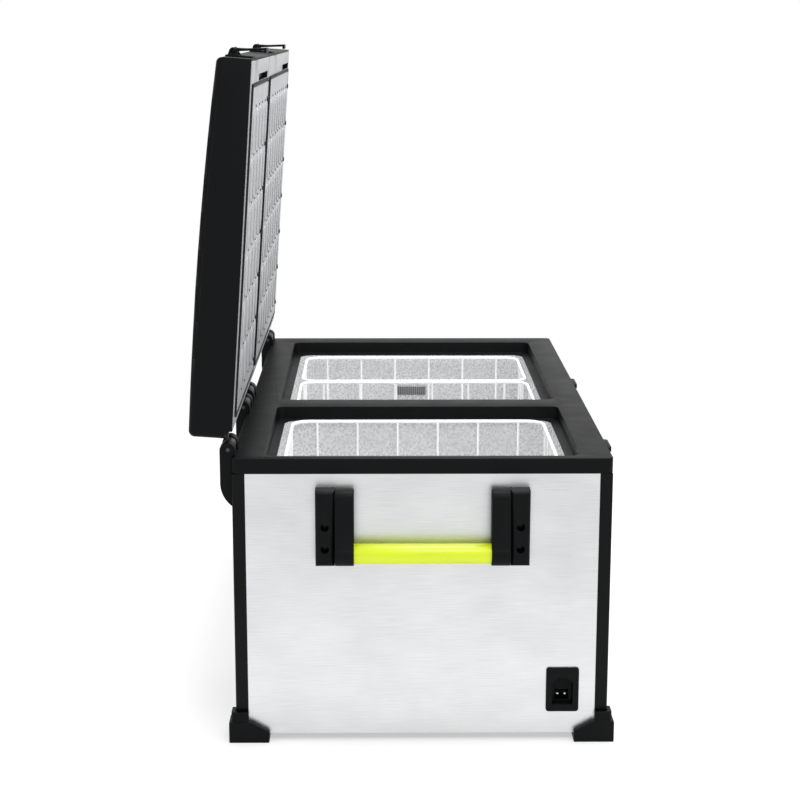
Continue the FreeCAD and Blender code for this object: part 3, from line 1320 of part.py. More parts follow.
def build_buttons():
    for label, order in BUTTONS.items():
        body = new_body(label)
        cap = rectangle(
            about(button_y(order), "Size.button_size"),
            about("Size.console_height", "Size.button_size"),
        )
        face = f"({CONSOLE_FRONT} + Size.button_rise)"
        extrude(body, "YZ", f"({SHEET_SIDE} - Size.button_root)", face, [cap])
        front = number(face)
        round_edges(body, "Size.button_edge", lambda middle, run: abs(middle.x - front) < 0.01)


def build_vent_grilles():
    """Louvred covers on both sides of the machine bay."""
    grilles = []
    for name, across in SIDES.items():
        body = member_body(f"vent_grille_{name}")
        grilles.append(body)
        skin = f"{across} * {SHEET_SIDE}"
        face = f"{across} * ({SHEET_SIDE} + Size.vent_face)"
        inner = f"{across} * {INNER_SIDE}"
        frame = rectangle(
            about("Size.vent_place", "Size.vent_length"),
            about("Size.vent_height", "Size.vent_tall"),
        )
        extrude(body, "YZ", skin, face, [frame])
        round_edges(body, "Size.vent_corner", lambda middle, run: abs(run.x) > 0.99)
        spigot = rectangle(
            about("Size.vent_place", "(Size.vent_length - 2 * Size.vent_border)"),
            about("Size.vent_height", "(Size.vent_tall - 2 * Size.vent_border)"),
        )
        extrude(body, "YZ", inner, skin, [spigot])
        slots = []
        reach = round(number("Size.vent_slots")) // 2
        for index in range(-reach, reach + 1):
            level = f"(Size.vent_height + {index} * 2 * Size.vent_slot)"
            slots.append(rectangle(
                about("Size.vent_place", "(Size.vent_length - 4 * Size.vent_border)"),
                about(level, "Size.vent_slot"),
            ))
        extrude(body, "YZ", inner, face, slots, cut=True)
    group("vent_grilles", grilles)


# ---- machine bay --------------------------------------------------------------------------------------

FAN_Y = "Size.vent_place"
FAN_Z = f"({PAN_TOP} + Size.fan_foot + Size.fan_size / 2)"
FAN_X = about("Size.fan_place", "Size.fan_depth")


def build_fan():
    """The axial fan: a square frame with a round opening and spider arms, and its bladed rotor."""
    frame = new_body("fan_frame")
    square = rectangle(about(FAN_Y, "Size.fan_size"), about(FAN_Z, "(Size.fan_size + 2 * Size.fan_foot)"))
    extrude(frame, "YZ", *FAN_X, [square])
    extrude(frame, "YZ", *FAN_X, circles=[(FAN_Y, FAN_Z, "Size.fan_bore")], cut=True)
    spider = (FAN_X[0], f"({FAN_X[0]} + Size.spider_gauge)")
    long, thin = "(2 * Size.fan_bore + 2 * Size.spider_bite)", "Size.spider_width"
    extrude(frame, "YZ", *spider, [rectangle(about(FAN_Y, long), about(FAN_Z, thin))])
    extrude(frame, "YZ", *spider, [rectangle(about(FAN_Y, thin), about(FAN_Z, long))])
    extrude(frame, "YZ", *spider, circles=[(FAN_Y, FAN_Z, "Size.fan_hub")])
    axle_end = f"({FAN_X[1]} - Size.axle_inset)"
    extrude(frame, "YZ", FAN_X[0], axle_end, circles=[(FAN_Y, FAN_Z, "Size.axle_radius")])
    rotor = new_body("fan_rotor")
    hub = (f"({FAN_X[0]} + Size.hub_inset)", f"({FAN_X[1]} - Size.hub_out)")
    extrude(rotor, "YZ", *hub, circles=[(FAN_Y, FAN_Z, "Size.fan_hub")])
    tip = "(Size.fan_bore - Size.fan_tip_gap)"
    root = "(Size.fan_hub - Size.blade_root)"
    reach = (f"({FAN_X[0]} + Size.blade_inset)", f"({FAN_X[1]} - Size.blade_out)")
    blades = round(number("Size.fan_blades"))
    for index in range(blades):
        angle = 2 * math.pi * index / blades
        corners = []
        for radius, turn in ((root, -0.16), (tip, -0.34), (tip, 0.1), (root, 0.34)):
            across = math.cos(angle + turn)
            up = math.sin(angle + turn)
            corners.append((f"({FAN_Y} + {across:.6f} * {radius})", f"({FAN_Z} + {up:.6f} * {radius})"))
        extrude(rotor, "YZ", *reach, [corners])
    bore = (FAN_Y, FAN_Z, "(Size.axle_radius + Size.running_gap)")
    extrude(rotor, "YZ", hub[0], axle_end, circles=[bore], cut=True)


def build_condenser():
    """Fins on four rows of tube, standing between the compressor and the fan."""
    front = f"({FAN_X[0]} - Size.coil_gap)"
    x = (f"({front} - Size.coil_depth)", front)
    y = about(FAN_Y, "Size.coil_length")
    z = (PAN_TOP, f"({PAN_TOP} + Size.coil_tall)")
    members = [block("CoilFoot", x, y, (z[0], f"({z[0]} + Size.coil_foot)"))]
    fins = round(number("Size.coil_fins"))
    for index in range(fins):
        start = f"({y[0]} + {index} * (Size.coil_length - Size.fin_gauge) / {fins - 1})"
        members.append(block("CoilFin", x, (start, f"({start} + Size.fin_gauge)"), z))
    middle = f"(({x[0]} + {x[1]}) / 2)"
    for index in range(round(number("Size.coil_tubes"))):
        level = f"({z[0]} + Size.coil_tube_height + {index} * Size.coil_tube_pitch)"
        start = (middle, y[0], level)
        members.append(rod("CoilTube", "y", start, "Size.coil_tube_radius", "Size.coil_length"))
    handed_in.append(fuse("condenser", members))


def build_compressor():
    """The hermetic compressor on its foot plate, with terminal box and stub pipes."""
    body = new_body("compressor")
    x, y = "Size.can_place", "Size.vent_place"
    plate = (PAN_TOP, f"({PAN_TOP} + Size.can_plate)")
    foot = rectangle(about(x, "Size.can_plate_length"), about(y, "Size.can_plate_width"))
    extrude(body, "XY", *plate, [foot])
    crown = f"({plate[1]} + Size.can_height)"
    extrude(body, "XY", plate[1], crown, circles=[(x, y, "Size.can_radius")])
    top = number(crown)
    round_edges(body, "Size.can_crown", lambda middle, run: abs(middle.z - top) < 0.01)
    shell = f"({x} + Size.can_radius)"
    across = (f"({shell} - Size.terminal_bite)", f"({shell} + Size.terminal_out)")
    terminal_foot = f"({plate[1]} + Size.terminal_foot)"
    terminal_top = f"({terminal_foot} + Size.terminal_height)"
    terminal = rectangle(across, about(y, "Size.terminal_width"))
    extrude(body, "XY", terminal_foot, terminal_top, [terminal])
    pipe_top = f"({crown} + Size.pipe_rise)"
    for place in about(y, "Size.pipe_pitch"):
        pipe = (f"({x} - Size.pipe_place)", place, "Size.pipe_radius")
        extrude(body, "XY", plate[1], pipe_top, circles=[pipe])


for build in (
    build_top_frame,
    build_corner_posts,
    build_end_panels,
    build_side_panels,
    build_base_pan,
    build_corner_feet,
    build_liners,
    build_evaporators,
    build_foam,
    build_baskets,
    build_cabin_light,
    build_lid_shells,
    build_lid_panels,
    build_lid_foam,
    build_lid_gaskets,
    build_hinge_brackets,
    build_hinge_pins,
    build_lid_leaves,
    build_latch_bases,
    build_latch_levers,
    build_latch_keepers,
    build_handle_mounts,
    build_handle_arms,
    build_handle_grips,
    build_handle_hardware,
    build_power_inlet,
    build_inlet_pins,
    build_console,
    build_display_window,
    build_control_board,
    build_buttons,
    build_vent_grilles,
    build_fan,
    build_condenser,
    build_compressor,
):
    build()

doc.recompute()
boxes = [part.Shape.optimalBoundingBox(False, False) for part in handed_in]
middle_x = (min(box.XMin for box in boxes) + max(box.XMax for box in boxes)) / 2
for part in handed_in:
    place = part.Placement
    place.Base.x -= middle_x
    part.Placement = place
doc.recompute()
for item in doc.Objects:
    if "Invalid" in item.State or "Error" in item.State:
        raise RuntimeError(f"{item.Label} failed: {item.State}")
for part in handed_in:
    if part.Shape.isNull() or not part.Shape.isValid():
        raise RuntimeError(f"{part.Label} has no valid shape")
for part in handed_in:
    part.Shape.exportStep(f"parts/{part.Label}.step")
print(f"{len(handed_in)} sub-parts written, shifted across by {-middle_x:.4f} mm")
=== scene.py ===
import json
import math

import bmesh
import bpy
from mathutils import Matrix, Vector


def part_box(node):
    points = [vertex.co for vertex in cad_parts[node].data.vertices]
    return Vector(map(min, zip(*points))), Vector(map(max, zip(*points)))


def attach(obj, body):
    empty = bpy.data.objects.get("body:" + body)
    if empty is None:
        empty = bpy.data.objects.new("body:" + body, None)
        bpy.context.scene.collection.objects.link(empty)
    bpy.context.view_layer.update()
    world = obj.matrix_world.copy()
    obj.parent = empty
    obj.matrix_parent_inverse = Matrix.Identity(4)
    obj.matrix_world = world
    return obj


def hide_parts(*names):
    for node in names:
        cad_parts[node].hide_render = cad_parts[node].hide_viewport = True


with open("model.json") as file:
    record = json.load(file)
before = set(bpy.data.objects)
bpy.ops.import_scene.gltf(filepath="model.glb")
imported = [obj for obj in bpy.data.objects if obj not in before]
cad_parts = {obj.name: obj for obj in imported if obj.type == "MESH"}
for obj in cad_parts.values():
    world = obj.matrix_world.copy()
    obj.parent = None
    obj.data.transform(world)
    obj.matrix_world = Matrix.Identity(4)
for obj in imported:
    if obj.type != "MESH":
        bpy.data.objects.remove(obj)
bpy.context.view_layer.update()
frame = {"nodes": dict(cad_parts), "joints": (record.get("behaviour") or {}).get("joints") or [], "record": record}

bl_info = {
    "name": "Compressor Cooler Fridge",
    "version": (1, 0, 0),
    "blender": (4, 5, 0),
    "location": "View3D > Sidebar > Cooler",
    "description": "Builds the visible pieces and finishes of a two-compartment cooler fridge",
    "category": "Object",
}

MM = 0.001
BODY_OF = {node: body for body, nodes in frame["record"]["behaviour"]["bodies"].items() for node in nodes}
SLOT_OF = {part["node"]: part["material_slot"] for part in frame["record"]["subparts"]}
HINGE = Vector(next(j["pos_m"] for j in frame["joints"] if j["name"] == "lid_near_hinge"))
LID_OPEN = next(-math.radians(j["range_deg"][0]) for j in frame["joints"] if j["name"] == "lid_near_hinge")
TOUCH = 0.01 * MM  # points nearer than this are one point
SINK = 0.3 * MM  # a raised detail is set this far into the face it stands on
FLAT = math.radians(0.1)  # facets that meet at less than this are one face
SHARP = math.radians(40)  # edges sharper than this are eased
CORNERS = [f"{end}_{side}" for end in ("near", "far") for side in ("hinge", "latch")]
ENDS = ("near", "far")


# ---- sizes and colours a user would change ------------------------------------------------------------


class CoolerSizes(bpy.types.PropertyGroup):
    """Sizes of the visible pieces."""

    edge_ease: bpy.props.FloatProperty(
        name="Moulding edge", description="Easing of a moulded part's edges", default=0.8 * MM, unit="LENGTH"
    )
    sheet_ease: bpy.props.FloatProperty(
        name="Sheet edge", description="Easing of a sheet's cut edges", default=0.25 * MM, unit="LENGTH"
    )
    rim_wire: bpy.props.FloatProperty(
        name="Rim wire", description="Diameter of a basket's rim wire", default=5 * MM, unit="LENGTH"
    )
    wall_wire: bpy.props.FloatProperty(
        name="Wall wire", description="Diameter of a basket's wall wires", default=3.4 * MM, unit="LENGTH"
    )
    wire_pitch: bpy.props.FloatProperty(
        name="Long wall pitch",
        description="Spacing of the wires along the long walls",
        default=59.5 * MM,
        unit="LENGTH",
    )
    end_pitch: bpy.props.FloatProperty(
        name="Short wall pitch",
        description="Spacing of the wires along the short walls",
        default=42 * MM,
        unit="LENGTH",
    )
    basket_corner: bpy.props.FloatProperty(
        name="Basket corner", description="Bend radius of the rim's corners", default=24 * MM, unit="LENGTH"
    )
    liner_gauge: bpy.props.FloatProperty(
        name="Liner sheet", description="Thickness of the liner sheet", default=1.2 * MM, unit="LENGTH"
    )
    liner_corner: bpy.props.FloatProperty(
        name="Liner corner",
        description="Radius of the liner's upright corners",
        default=20 * MM,
        unit="LENGTH",
    )
    liner_foot: bpy.props.FloatProperty(
        name="Liner floor radius",
        description="Radius between a liner's walls and floor",
        default=10 * MM,
        unit="LENGTH",
    )
    flute_width: bpy.props.FloatProperty(
        name="Flute width",
        description="Width of a raised flute on the lid's inner panel",
        default=29 * MM,
        unit="LENGTH",
    )
    flute_pitch: bpy.props.FloatProperty(
        name="Flute pitch",
        description="Spacing of the flutes along the lid",
        default=59.5 * MM,
        unit="LENGTH",
    )
    flute_row: bpy.props.FloatProperty(
        name="Flute row", description="Spacing of the rows of flutes", default=62.5 * MM, unit="LENGTH"
    )
    flute_rise: bpy.props.FloatProperty(
        name="Flute height", description="Height of a raised flute", default=1.3 * MM, unit="LENGTH"
    )


def colour(default, name, description):
    """A colour that the sidebar shows as its sRGB hex value."""
    return bpy.props.StringProperty(name=name, description=description, default=default)


class CoolerColours(bpy.types.PropertyGroup):
    """Colours of the finishes, as sRGB hex values."""

    moulding: colour("#08090A", "Moulding", "Black moulded ABS")
    post: colour("#070808", "Posts", "Black powder coat")
    stainless: colour("#DEDFE0", "Casing", "Brushed stainless sheet")
    liner: colour("#E6E7E8", "Liner", "Embossed aluminium")
    wire: colour("#FBFBFA", "Basket", "White dipped wire")
    lid_inner: colour("#A0A2A4", "Lid inside", "Light grey moulded panel")
    grip: colour("#C4D400", "Grip", "Lime handle tube")
    floor: colour("#FFFFFF", "Floor", "Studio floor")


def sizes():
    """The sizes set in the sidebar."""
    return bpy.context.scene.cooler_sizes


def colours():
    """The colours set in the sidebar."""
    return bpy.context.scene.cooler_colours


# ---- modelling helpers --------------------------------------------------------------------------------


def put_down():
    """Leave edit mode with nothing selected."""
    if bpy.context.object and bpy.context.object.mode != "OBJECT":
        bpy.ops.object.mode_set(mode="OBJECT")
    bpy.ops.object.select_all(action="DESELECT")


def take_up(*pieces):
    """Select these pieces alone, with the first one active."""
    put_down()
    for piece in pieces:
        piece.select_set(True)
    bpy.context.view_layer.objects.active = pieces[0]


def select_where(kind, wanted):
    """In edit mode, select the vertices, edges or faces whose middle passes the test."""
    bpy.ops.mesh.select_mode(type={"verts": "VERT", "edges": "EDGE", "faces": "FACE"}[kind])
    bpy.ops.mesh.select_all(action="DESELECT")
    mesh = bmesh.from_edit_mesh(bpy.context.object.data)
    for element in getattr(mesh, kind):
        points = [element.co] if kind == "verts" else [vertex.co for vertex in element.verts]
        middle = sum(points, Vector()) / len(points)
        run = points[-1] - points[0] if kind == "edges" else getattr(element, "normal", Vector())
        if wanted(middle, run.normalized() if run.length else run):
            element.select_set(True)
    mesh.select_flush_mode()
    bmesh.update_edit_mesh(bpy.context.object.data)


def is_upright(middle, run):
    """A test for select_where: an edge that runs up and down."""
    return abs(run.z) > 0.9


def faces_down(middle, normal):
    """A test for select_where: a face that looks down."""
    return normal.z < -0.9


def new_block(name, low, high):
    """A block between two corners, open in edit mode."""
    put_down()
    low, high = Vector(low), Vector(high)
    bpy.ops.mesh.primitive_cube_add(size=1, location=(low + high) / 2, scale=high - low)
    piece = bpy.context.object
    piece.name = name
    bpy.ops.object.transform_apply(location=True, rotation=True, scale=True)
    bpy.ops.object.mode_set(mode="EDIT")
    return piece


def add_modifier(piece, kind, **settings):
    """Add a modifier with its settings and apply it."""
    take_up(piece)
    bpy.ops.object.modifier_add(type=kind)
    modifier = piece.modifiers[-1]
    for name, value in settings.items():
        setattr(modifier, name, value)
    bpy.ops.object.modifier_apply(modifier=modifier.name)


def smooth(piece, degrees=32):
    """Shade smooth, but keep a crease where faces meet at more than this angle."""
    take_up(piece)
    bpy.ops.object.shade_smooth_by_angle(angle=math.radians(degrees))


def joined(name, pieces):
    """The pieces as one, under a new name."""
    take_up(*pieces)
    if len(pieces) > 1:
        bpy.ops.object.join()
    piece = bpy.context.object
    piece.name = name
    return piece


def copies(piece, moves):
    """Copies of a piece, each with its own mesh, moved by the given steps; the piece itself goes."""
    made = []
    for move in moves:
        take_up(piece)
        bpy.ops.object.duplicate(linked=False)
        bpy.ops.transform.translate(value=move)
        bpy.ops.object.transform_apply(location=True, rotation=False, scale=False)
        made.append(bpy.context.object)
    bpy.data.objects.remove(piece)
    return made


def hand_over(piece, body, material, replaces=()):
    """Place a finished piece: its material, the body it rides on, and the CAD nodes it stands for."""
    put_down()
    piece.data.materials.clear()
    piece.data.materials.append(material)
    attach(piece, body)
    if replaces:
        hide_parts(*replaces)


def eased(node, width, segments=2):
    """A copy of a CAD node, merged, with its sharp edges eased as a mould or a brake leaves them."""
    put_down()
    piece = bpy.data.objects.new(f"{node}_eased", frame["nodes"][node].data.copy())
    bpy.context.scene.collection.objects.link(piece)
    take_up(piece)
    bpy.ops.mesh.customdata_custom_splitnormals_clear()
    bpy.ops.object.mode_set(mode="EDIT")
    bpy.ops.mesh.select_all(action="SELECT")
    bpy.ops.mesh.remove_doubles(threshold=TOUCH)
    bpy.ops.mesh.dissolve_limited(angle_limit=FLAT)
    bpy.ops.object.mode_set(mode="OBJECT")
    add_modifier(piece, "BEVEL", width=width, segments=segments, limit_method="ANGLE", angle_limit=SHARP)
    smooth(piece)
    return piece


def ease_nodes(nodes, width, segments=2):
    """Ease each CAD node and hand it over with its own finish."""
    for node in nodes:
        piece = eased(node, width, segments)
        hand_over(piece, BODY_OF[node], FINISHES[SLOT_OF[node]](), (node,))


def dress_nodes(nodes):
    """Give CAD nodes whose shape is already right their finish."""
    for node in nodes:
        mesh = frame["nodes"][node].data
        mesh.materials.clear()
        mesh.materials.append(FINISHES[SLOT_OF[node]]())


# ---- finishes -----------------------------------------------------------------------------------------


def linear(hex_value):
    """An sRGB hex value as a linear colour."""
    parts = [int(hex_value.lstrip("#")[index : index + 2], 16) / 255 for index in (0, 2, 4)]
    return tuple(c / 12.92 if c <= 0.04045 else ((c + 0.055) / 1.055) ** 2.4 for c in parts) + (1.0,)


def per_metre(millimetres):
    """A pattern's scale from the real size of one of its features."""
    return 1 / (millimetres * MM)


def add_node(tree, kind, settings=None, links=None):
    """Add a node, set its properties and inputs, and link its inputs to other nodes' outputs."""
    made = tree.nodes.new(kind)
    for name, value in (settings or {}).items():
        if isinstance(name, int) or name in made.inputs:
            made.inputs[name].default_value = value
        else:
            setattr(made, name, value)
    for name, output in (links or {}).items():
        tree.links.new(output, made.inputs[name])
    return made


def new_material(name, **shader):
    """A material with one Principled shader, or the one already made under that name."""
    found = bpy.data.materials.get(name)
    if found:
        return found, None, None, None
    material = bpy.data.materials.new(name)
    material.use_nodes = True
    tree = material.node_tree
    tree.nodes.clear()
    surface = add_node(tree, "ShaderNodeBsdfPrincipled", shader)
    add_node(tree, "ShaderNodeOutputMaterial", links={"Surface": surface.outputs["BSDF"]})
    place = add_node(tree, "ShaderNodeTexCoord").outputs["Object"]
    return material, tree, surface, place


def noise_at(tree, place, millimetres, detail=2.0, stretch=(1, 1, 1)):
    """Noise whose features are about this size, stretched along some axes."""
    mapped = add_node(tree, "ShaderNodeMapping", {"Scale": stretch}, {"Vector": place})
    settings = {"Scale": per_metre(millimetres), "Detail": detail, "Roughness": 0.55}
    return add_node(tree, "ShaderNodeTexNoise", settings, {"Vector": mapped.outputs["Vector"]}).outputs["Fac"]


def spread(tree, surface, socket, pattern, low, high):
    """Let a pattern move a shader value between two limits."""
    settings = {"From Min": 0.3, "From Max": 0.7, "To Min": low, "To Max": high}
    ranged = add_node(tree, "ShaderNodeMapRange", settings, {"Value": pattern})
    tree.links.new(ranged.outputs["Result"], surface.inputs[socket])


def tint(tree, surface, pattern, dark, light):
    """Let a pattern move the base colour between two hex values."""
    ends = {"data_type": "RGBA", 6: linear(dark), 7: linear(light)}
    mixed = add_node(tree, "ShaderNodeMix", ends, {0: pattern})
    tree.links.new(mixed.outputs[2], surface.inputs["Base Color"])


def relief(tree, surface, pattern, height, strength):
    """Let a pattern raise the surface by up to a height in millimetres."""
    settings = {"Distance": height * MM, "Strength": strength}
    bump = add_node(tree, "ShaderNodeBump", settings, {"Height": pattern})
    tree.links.new(bump.outputs["Normal"], surface.inputs["Normal"])


def shade(hex_value, factor):
    """The same colour, lighter or darker."""
    parts = [int(hex_value.lstrip("#")[index : index + 2], 16) for index in (0, 2, 4)]
    return "#" + "".join(f"{max(0, min(255, round(part * factor))):02X}" for part in parts)


def spark_eroded_abs():
    """Injection-moulded ABS from a spark-eroded mould: a deep black with a fine matt grain.
    The real grain is about 0.3 mm; it is drawn at 1.6 mm so that it shows."""
    hue = colours().moulding
    material, tree, surface, place = new_material(
        "spark_eroded_black_abs", **{"Base Color": linear(hue), "Roughness": 0.45, "Specular IOR Level": 0.1}
    )
    if tree:
        grain = noise_at(tree, place, 1.6, 3.0)
        relief(tree, surface, grain, 0.05, 0.5)
        spread(tree, surface, "Roughness", noise_at(tree, place, 35), 0.46, 0.52)
        tint(tree, surface, noise_at(tree, place, 60), shade(hue, 0.9), shade(hue, 1.15))
    return material


def powder_coated_steel():
    """Powder-coated steel: satin black with the shallow orange peel of a baked coating, 2.5 mm across."""
    hue = colours().post
    material, tree, surface, place = new_material(
        "powder_coated_steel", **{"Base Color": linear(hue), "Roughness": 0.38, "Specular IOR Level": 0.12}
    )
    if tree:
        relief(tree, surface, noise_at(tree, place, 2.5, 1.0), 0.04, 0.4)
        spread(tree, surface, "Roughness", noise_at(tree, place, 20), 0.32, 0.44)
    return material


def brushed_stainless():
    """Stainless sheet brushed along its length: bright, with fine level scratches that stretch highlights.
    Real brush lines are about 0.1 mm apart; they are drawn at 0.9 mm so that they show."""
    hue = colours().stainless
    material, tree, surface, place = new_material(
        "brushed_stainless_sheet", **{"Base Color": linear(hue), "Metallic": 1.0, "Roughness": 0.34}
    )
    if tree:
        lines = noise_at(tree, place, 0.9, 3.0, (0.02, 0.02, 1))
        cloud = noise_at(tree, place, 90, 3.0, (1, 1, 1.6))
        share = add_node(tree, "ShaderNodeMath", {"operation": "MULTIPLY", 1: 0.4}, {0: cloud})
        both = add_node(
            tree, "ShaderNodeMath", {"operation": "MULTIPLY_ADD", 1: 0.6}, {0: lines, 2: share.outputs[0]}
        )
        tint(tree, surface, both.outputs[0], shade(hue, 0.84), shade(hue, 1.1))
        spread(tree, surface, "Roughness", lines, 0.28, 0.42)
        relief(tree, surface, lines, 0.02, 0.35)
    return material


def embossed_aluminium():
    """Stucco-embossed aluminium: crumpled dimples, 4 mm across, that sparkle where the light catches them."""
    hue = colours().liner
    material, tree, surface, place = new_material(
        "stucco_embossed_aluminium", **{"Base Color": linear(hue), "Metallic": 0.3, "Roughness": 0.34}
    )
    if tree:
        dimples = add_node(
            tree,
            "ShaderNodeTexNoise",
            {"Scale": per_metre(4), "Detail": 2.0, "Roughness": 0.5, "Distortion": 0.4},
            {"Vector": place},
        ).outputs["Fac"]
        tint(tree, surface, dimples, shade(hue, 0.86), shade(hue, 1.03))
        spread(tree, surface, "Roughness", dimples, 0.2, 0.36)
        relief(tree, surface, dimples, 1.0, 0.8)
    return material


def mill_aluminium():
    """Rolled aluminium sheet as it leaves the mill: grey, with faint rolling lines about 1.5 mm apart."""
    material, tree, surface, place = new_material(
        "mill_finish_aluminium", **{"Base Color": linear("#C4C6C8"), "Metallic": 1.0, "Roughness": 0.42}
    )
    if tree:
        lines = noise_at(tree, place, 1.5, 2.0, (1, 0.05, 1))
        tint(tree, surface, lines, "#B2B4B6", "#CDCFD1")
        relief(tree, surface, lines, 0.02, 0.3)
    return material


WIRE_PAINTED_GLOW = 0.14  # painted glow: light that the whitened plastic of the baskets gives off of its own, though it is no lamp


def dipped_wire():
    """Steel wire dipped in white PVC with a painted glow: it stands out in the shade of the wells, with a
    soft gloss and slow ripples, about 8 mm long, where the dip ran."""
    hue = colours().wire
    material, tree, surface, place = new_material(
        "white_pvc_dipped_wire",
        **{
            "Base Color": linear(hue),
            "Roughness": 0.3,
            # painted glow: the wire gives off its own colour as light
            "Emission Color": linear(hue),
            "Emission Strength": WIRE_PAINTED_GLOW,
        },
    )
    if tree:
        runs = noise_at(tree, place, 8, 1.0)
        relief(tree, surface, runs, 0.08, 0.4)
        spread(tree, surface, "Roughness", runs, 0.24, 0.36)
        tint(tree, surface, runs, shade(hue, 0.97), shade(hue, 1.02))
    return material


def moulded_polypropylene():
    """Injection-moulded polypropylene: light grey and waxy, with a fine etched grain drawn at 1.8 mm."""
    hue = colours().lid_inner
    material, tree, surface, place = new_material(
        "moulded_grey_polypropylene", **{"Base Color": linear(hue), "Roughness": 0.42}
    )
    if tree:
        relief(tree, surface, noise_at(tree, place, 1.8, 3.0), 0.04, 0.4)
        tint(tree, surface, noise_at(tree, place, 45), shade(hue, 0.95), shade(hue, 1.04))
        spread(tree, surface, "Roughness", noise_at(tree, place, 25), 0.36, 0.5)
    return material


def extruded_epdm():
    """Extruded EPDM rubber: a dull near-black with a faint dusty bloom in patches about 12 mm across."""
    material, tree, surface, place = new_material(
        "extruded_epdm_seal", **{"Base Color": linear("#101010"), "Roughness": 0.7, "Specular IOR Level": 0.3}
    )
    if tree:
        tint(tree, surface, noise_at(tree, place, 12), "#0D0D0D", "#191919")
        relief(tree, surface, noise_at(tree, place, 1.5), 0.04, 0.4)
    return material


def lime_tube():
    """Pigmented extruded tube in vivid lime: a clean satin skin that glows a little at its edges,
    with draw lines about 1.2 mm apart along it."""
    hue = colours().grip
    material, tree, surface, place = new_material(
        "extruded_lime_tube",
        **{"Base Color": linear(hue), "Roughness": 0.3, "Coat Weight": 0.25, "Coat Roughness": 0.2},
    )
    if tree:
        lines = noise_at(tree, place, 1.2, 1.0, (0.03, 1, 1))
        relief(tree, surface, lines, 0.02, 0.3)
        tint(tree, surface, noise_at(tree, place, 30, 1.0, (0.3, 1, 1)), shade(hue, 0.96), shade(hue, 1.04))
        spread(tree, surface, "Roughness", lines, 0.26, 0.36)
    return material


def blackened_hinge_steel():
    """Hinge steel with a black passivated skin: a dark sheen with cloudy patches about 5 mm across."""
    material, tree, surface, place = new_material(
        "black_passivated_hinge_steel", **{"Base Color": linear("#1B1C1E"), "Metallic": 0.5, "Roughness": 0.4}
    )
    if tree:
        clouds = noise_at(tree, place, 5, 2.0)
        tint(tree, surface, clouds, "#141516", "#28292C")
        spread(tree, surface, "Roughness", clouds, 0.32, 0.48)
    return material


def black_oxide_steel():
    """Screws with a black oxide skin: dark and oily, with worn bright flecks about 1 mm across."""
    material, tree, surface, place = new_material(
        "black_oxide_screw", **{"Base Color": linear("#1C1C1E"), "Metallic": 0.8, "Roughness": 0.4}
    )
    if tree:
        flecks = noise_at(tree, place, 1.0, 2.0)
        tint(tree, surface, flecks, "#121213", "#38383B")
        spread(tree, surface, "Roughness", flecks, 0.32, 0.5)
    return material


def turned_steel():
    """Turned steel pin with a thin oil-blackened skin: dark grey metal, with rings about 0.8 mm apart."""
    material, tree, surface, place = new_material(
        "oil_blackened_turned_steel", **{"Base Color": linear("#4A4C50"), "Metallic": 1.0, "Roughness": 0.3}
    )
    if tree:
        rings = noise_at(tree, place, 0.8, 1.0, (1, 1, 0.1))
        relief(tree, surface, rings, 0.02, 0.3)
        spread(tree, surface, "Roughness", rings, 0.24, 0.38)
    return material


def tinned_brass():
    """Tin-plated brass contacts: bright silver, a little dulled in patches about 2 mm across."""
    material, tree, surface, place = new_material(
        "tin_plated_brass_contact", **{"Base Color": linear("#DADBDC"), "Metallic": 1.0, "Roughness": 0.3}
    )
    if tree:
        tint(tree, surface, noise_at(tree, place, 2), "#C3C4C6", "#E9EAEB")
    return material


def tinted_acrylic():
    """Cast acrylic window with a smoke tint: polished, nearly black, mirror-like at a glance."""
    material, tree, surface, place = new_material(
        "smoked_acrylic_window", **{"Base Color": linear("#07090B"), "Roughness": 0.06}
    )
    if tree:
        spread(tree, surface, "Roughness", noise_at(tree, place, 9), 0.04, 0.1)
    return material


def lacquered_board():
    """Glass-fibre circuit board under green lacquer, with its weave drawn at 1.4 mm."""
    material, tree, surface, place = new_material(
        "lacquered_glass_fibre_board", **{"Base Color": linear("#11502B"), "Roughness": 0.28}
    )
    if tree:
        weave = add_node(tree, "ShaderNodeTexChecker", {"Scale": per_metre(1.4)}, {"Vector": place})
        tint(tree, surface, weave.outputs["Fac"], "#0E4425", "#155C33")
    return material


def moulded_silicone():
    """Moulded silicone key: matt dark grey with a soft powdery sheen and a faint 1 mm grain."""
    material, tree, surface, place = new_material(
        "moulded_silicone_key", **{"Base Color": linear("#26272A"), "Roughness": 0.6, "Sheen Weight": 0.2}
    )
    if tree:
        relief(tree, surface, noise_at(tree, place, 1.0), 0.03, 0.3)
        tint(tree, surface, noise_at(tree, place, 6), "#222326", "#2C2D31")
    return material


def smoked_polycarbonate():
    """Moulded polycarbonate lamp lens, smoke grey, with a ribbed inside drawn as 2 mm bands of painted light and
    shade.
    """
    material, tree, surface, place = new_material(
        "smoked_polycarbonate_lens", **{"Base Color": linear("#6B6D6E"), "Roughness": 0.2}
    )
    if tree:
        bands = add_node(
            tree, "ShaderNodeTexWave", {"Scale": per_metre(12), "bands_direction": "X"}, {"Vector": place}
        ).outputs["Fac"]
        # painted light and shade: lighter and darker bands where the ribs catch the light
        tint(tree, surface, bands, "#4A4C4D", "#8E9091")
        relief(tree, surface, bands, 0.2, 0.4)
    return material


def baked_enamel():
    """Black baked enamel on a pressed steel shell: glossy, with a slow ripple about 15 mm across."""
    material, tree, surface, place = new_material(
        "black_baked_enamel", **{"Base Color": linear("#0C0C0D"), "Roughness": 0.16}
    )
    if tree:
        relief(tree, surface, noise_at(tree, place, 15), 0.1, 0.4)
        spread(tree, surface, "Roughness", noise_at(tree, place, 8), 0.12, 0.24)
    return material


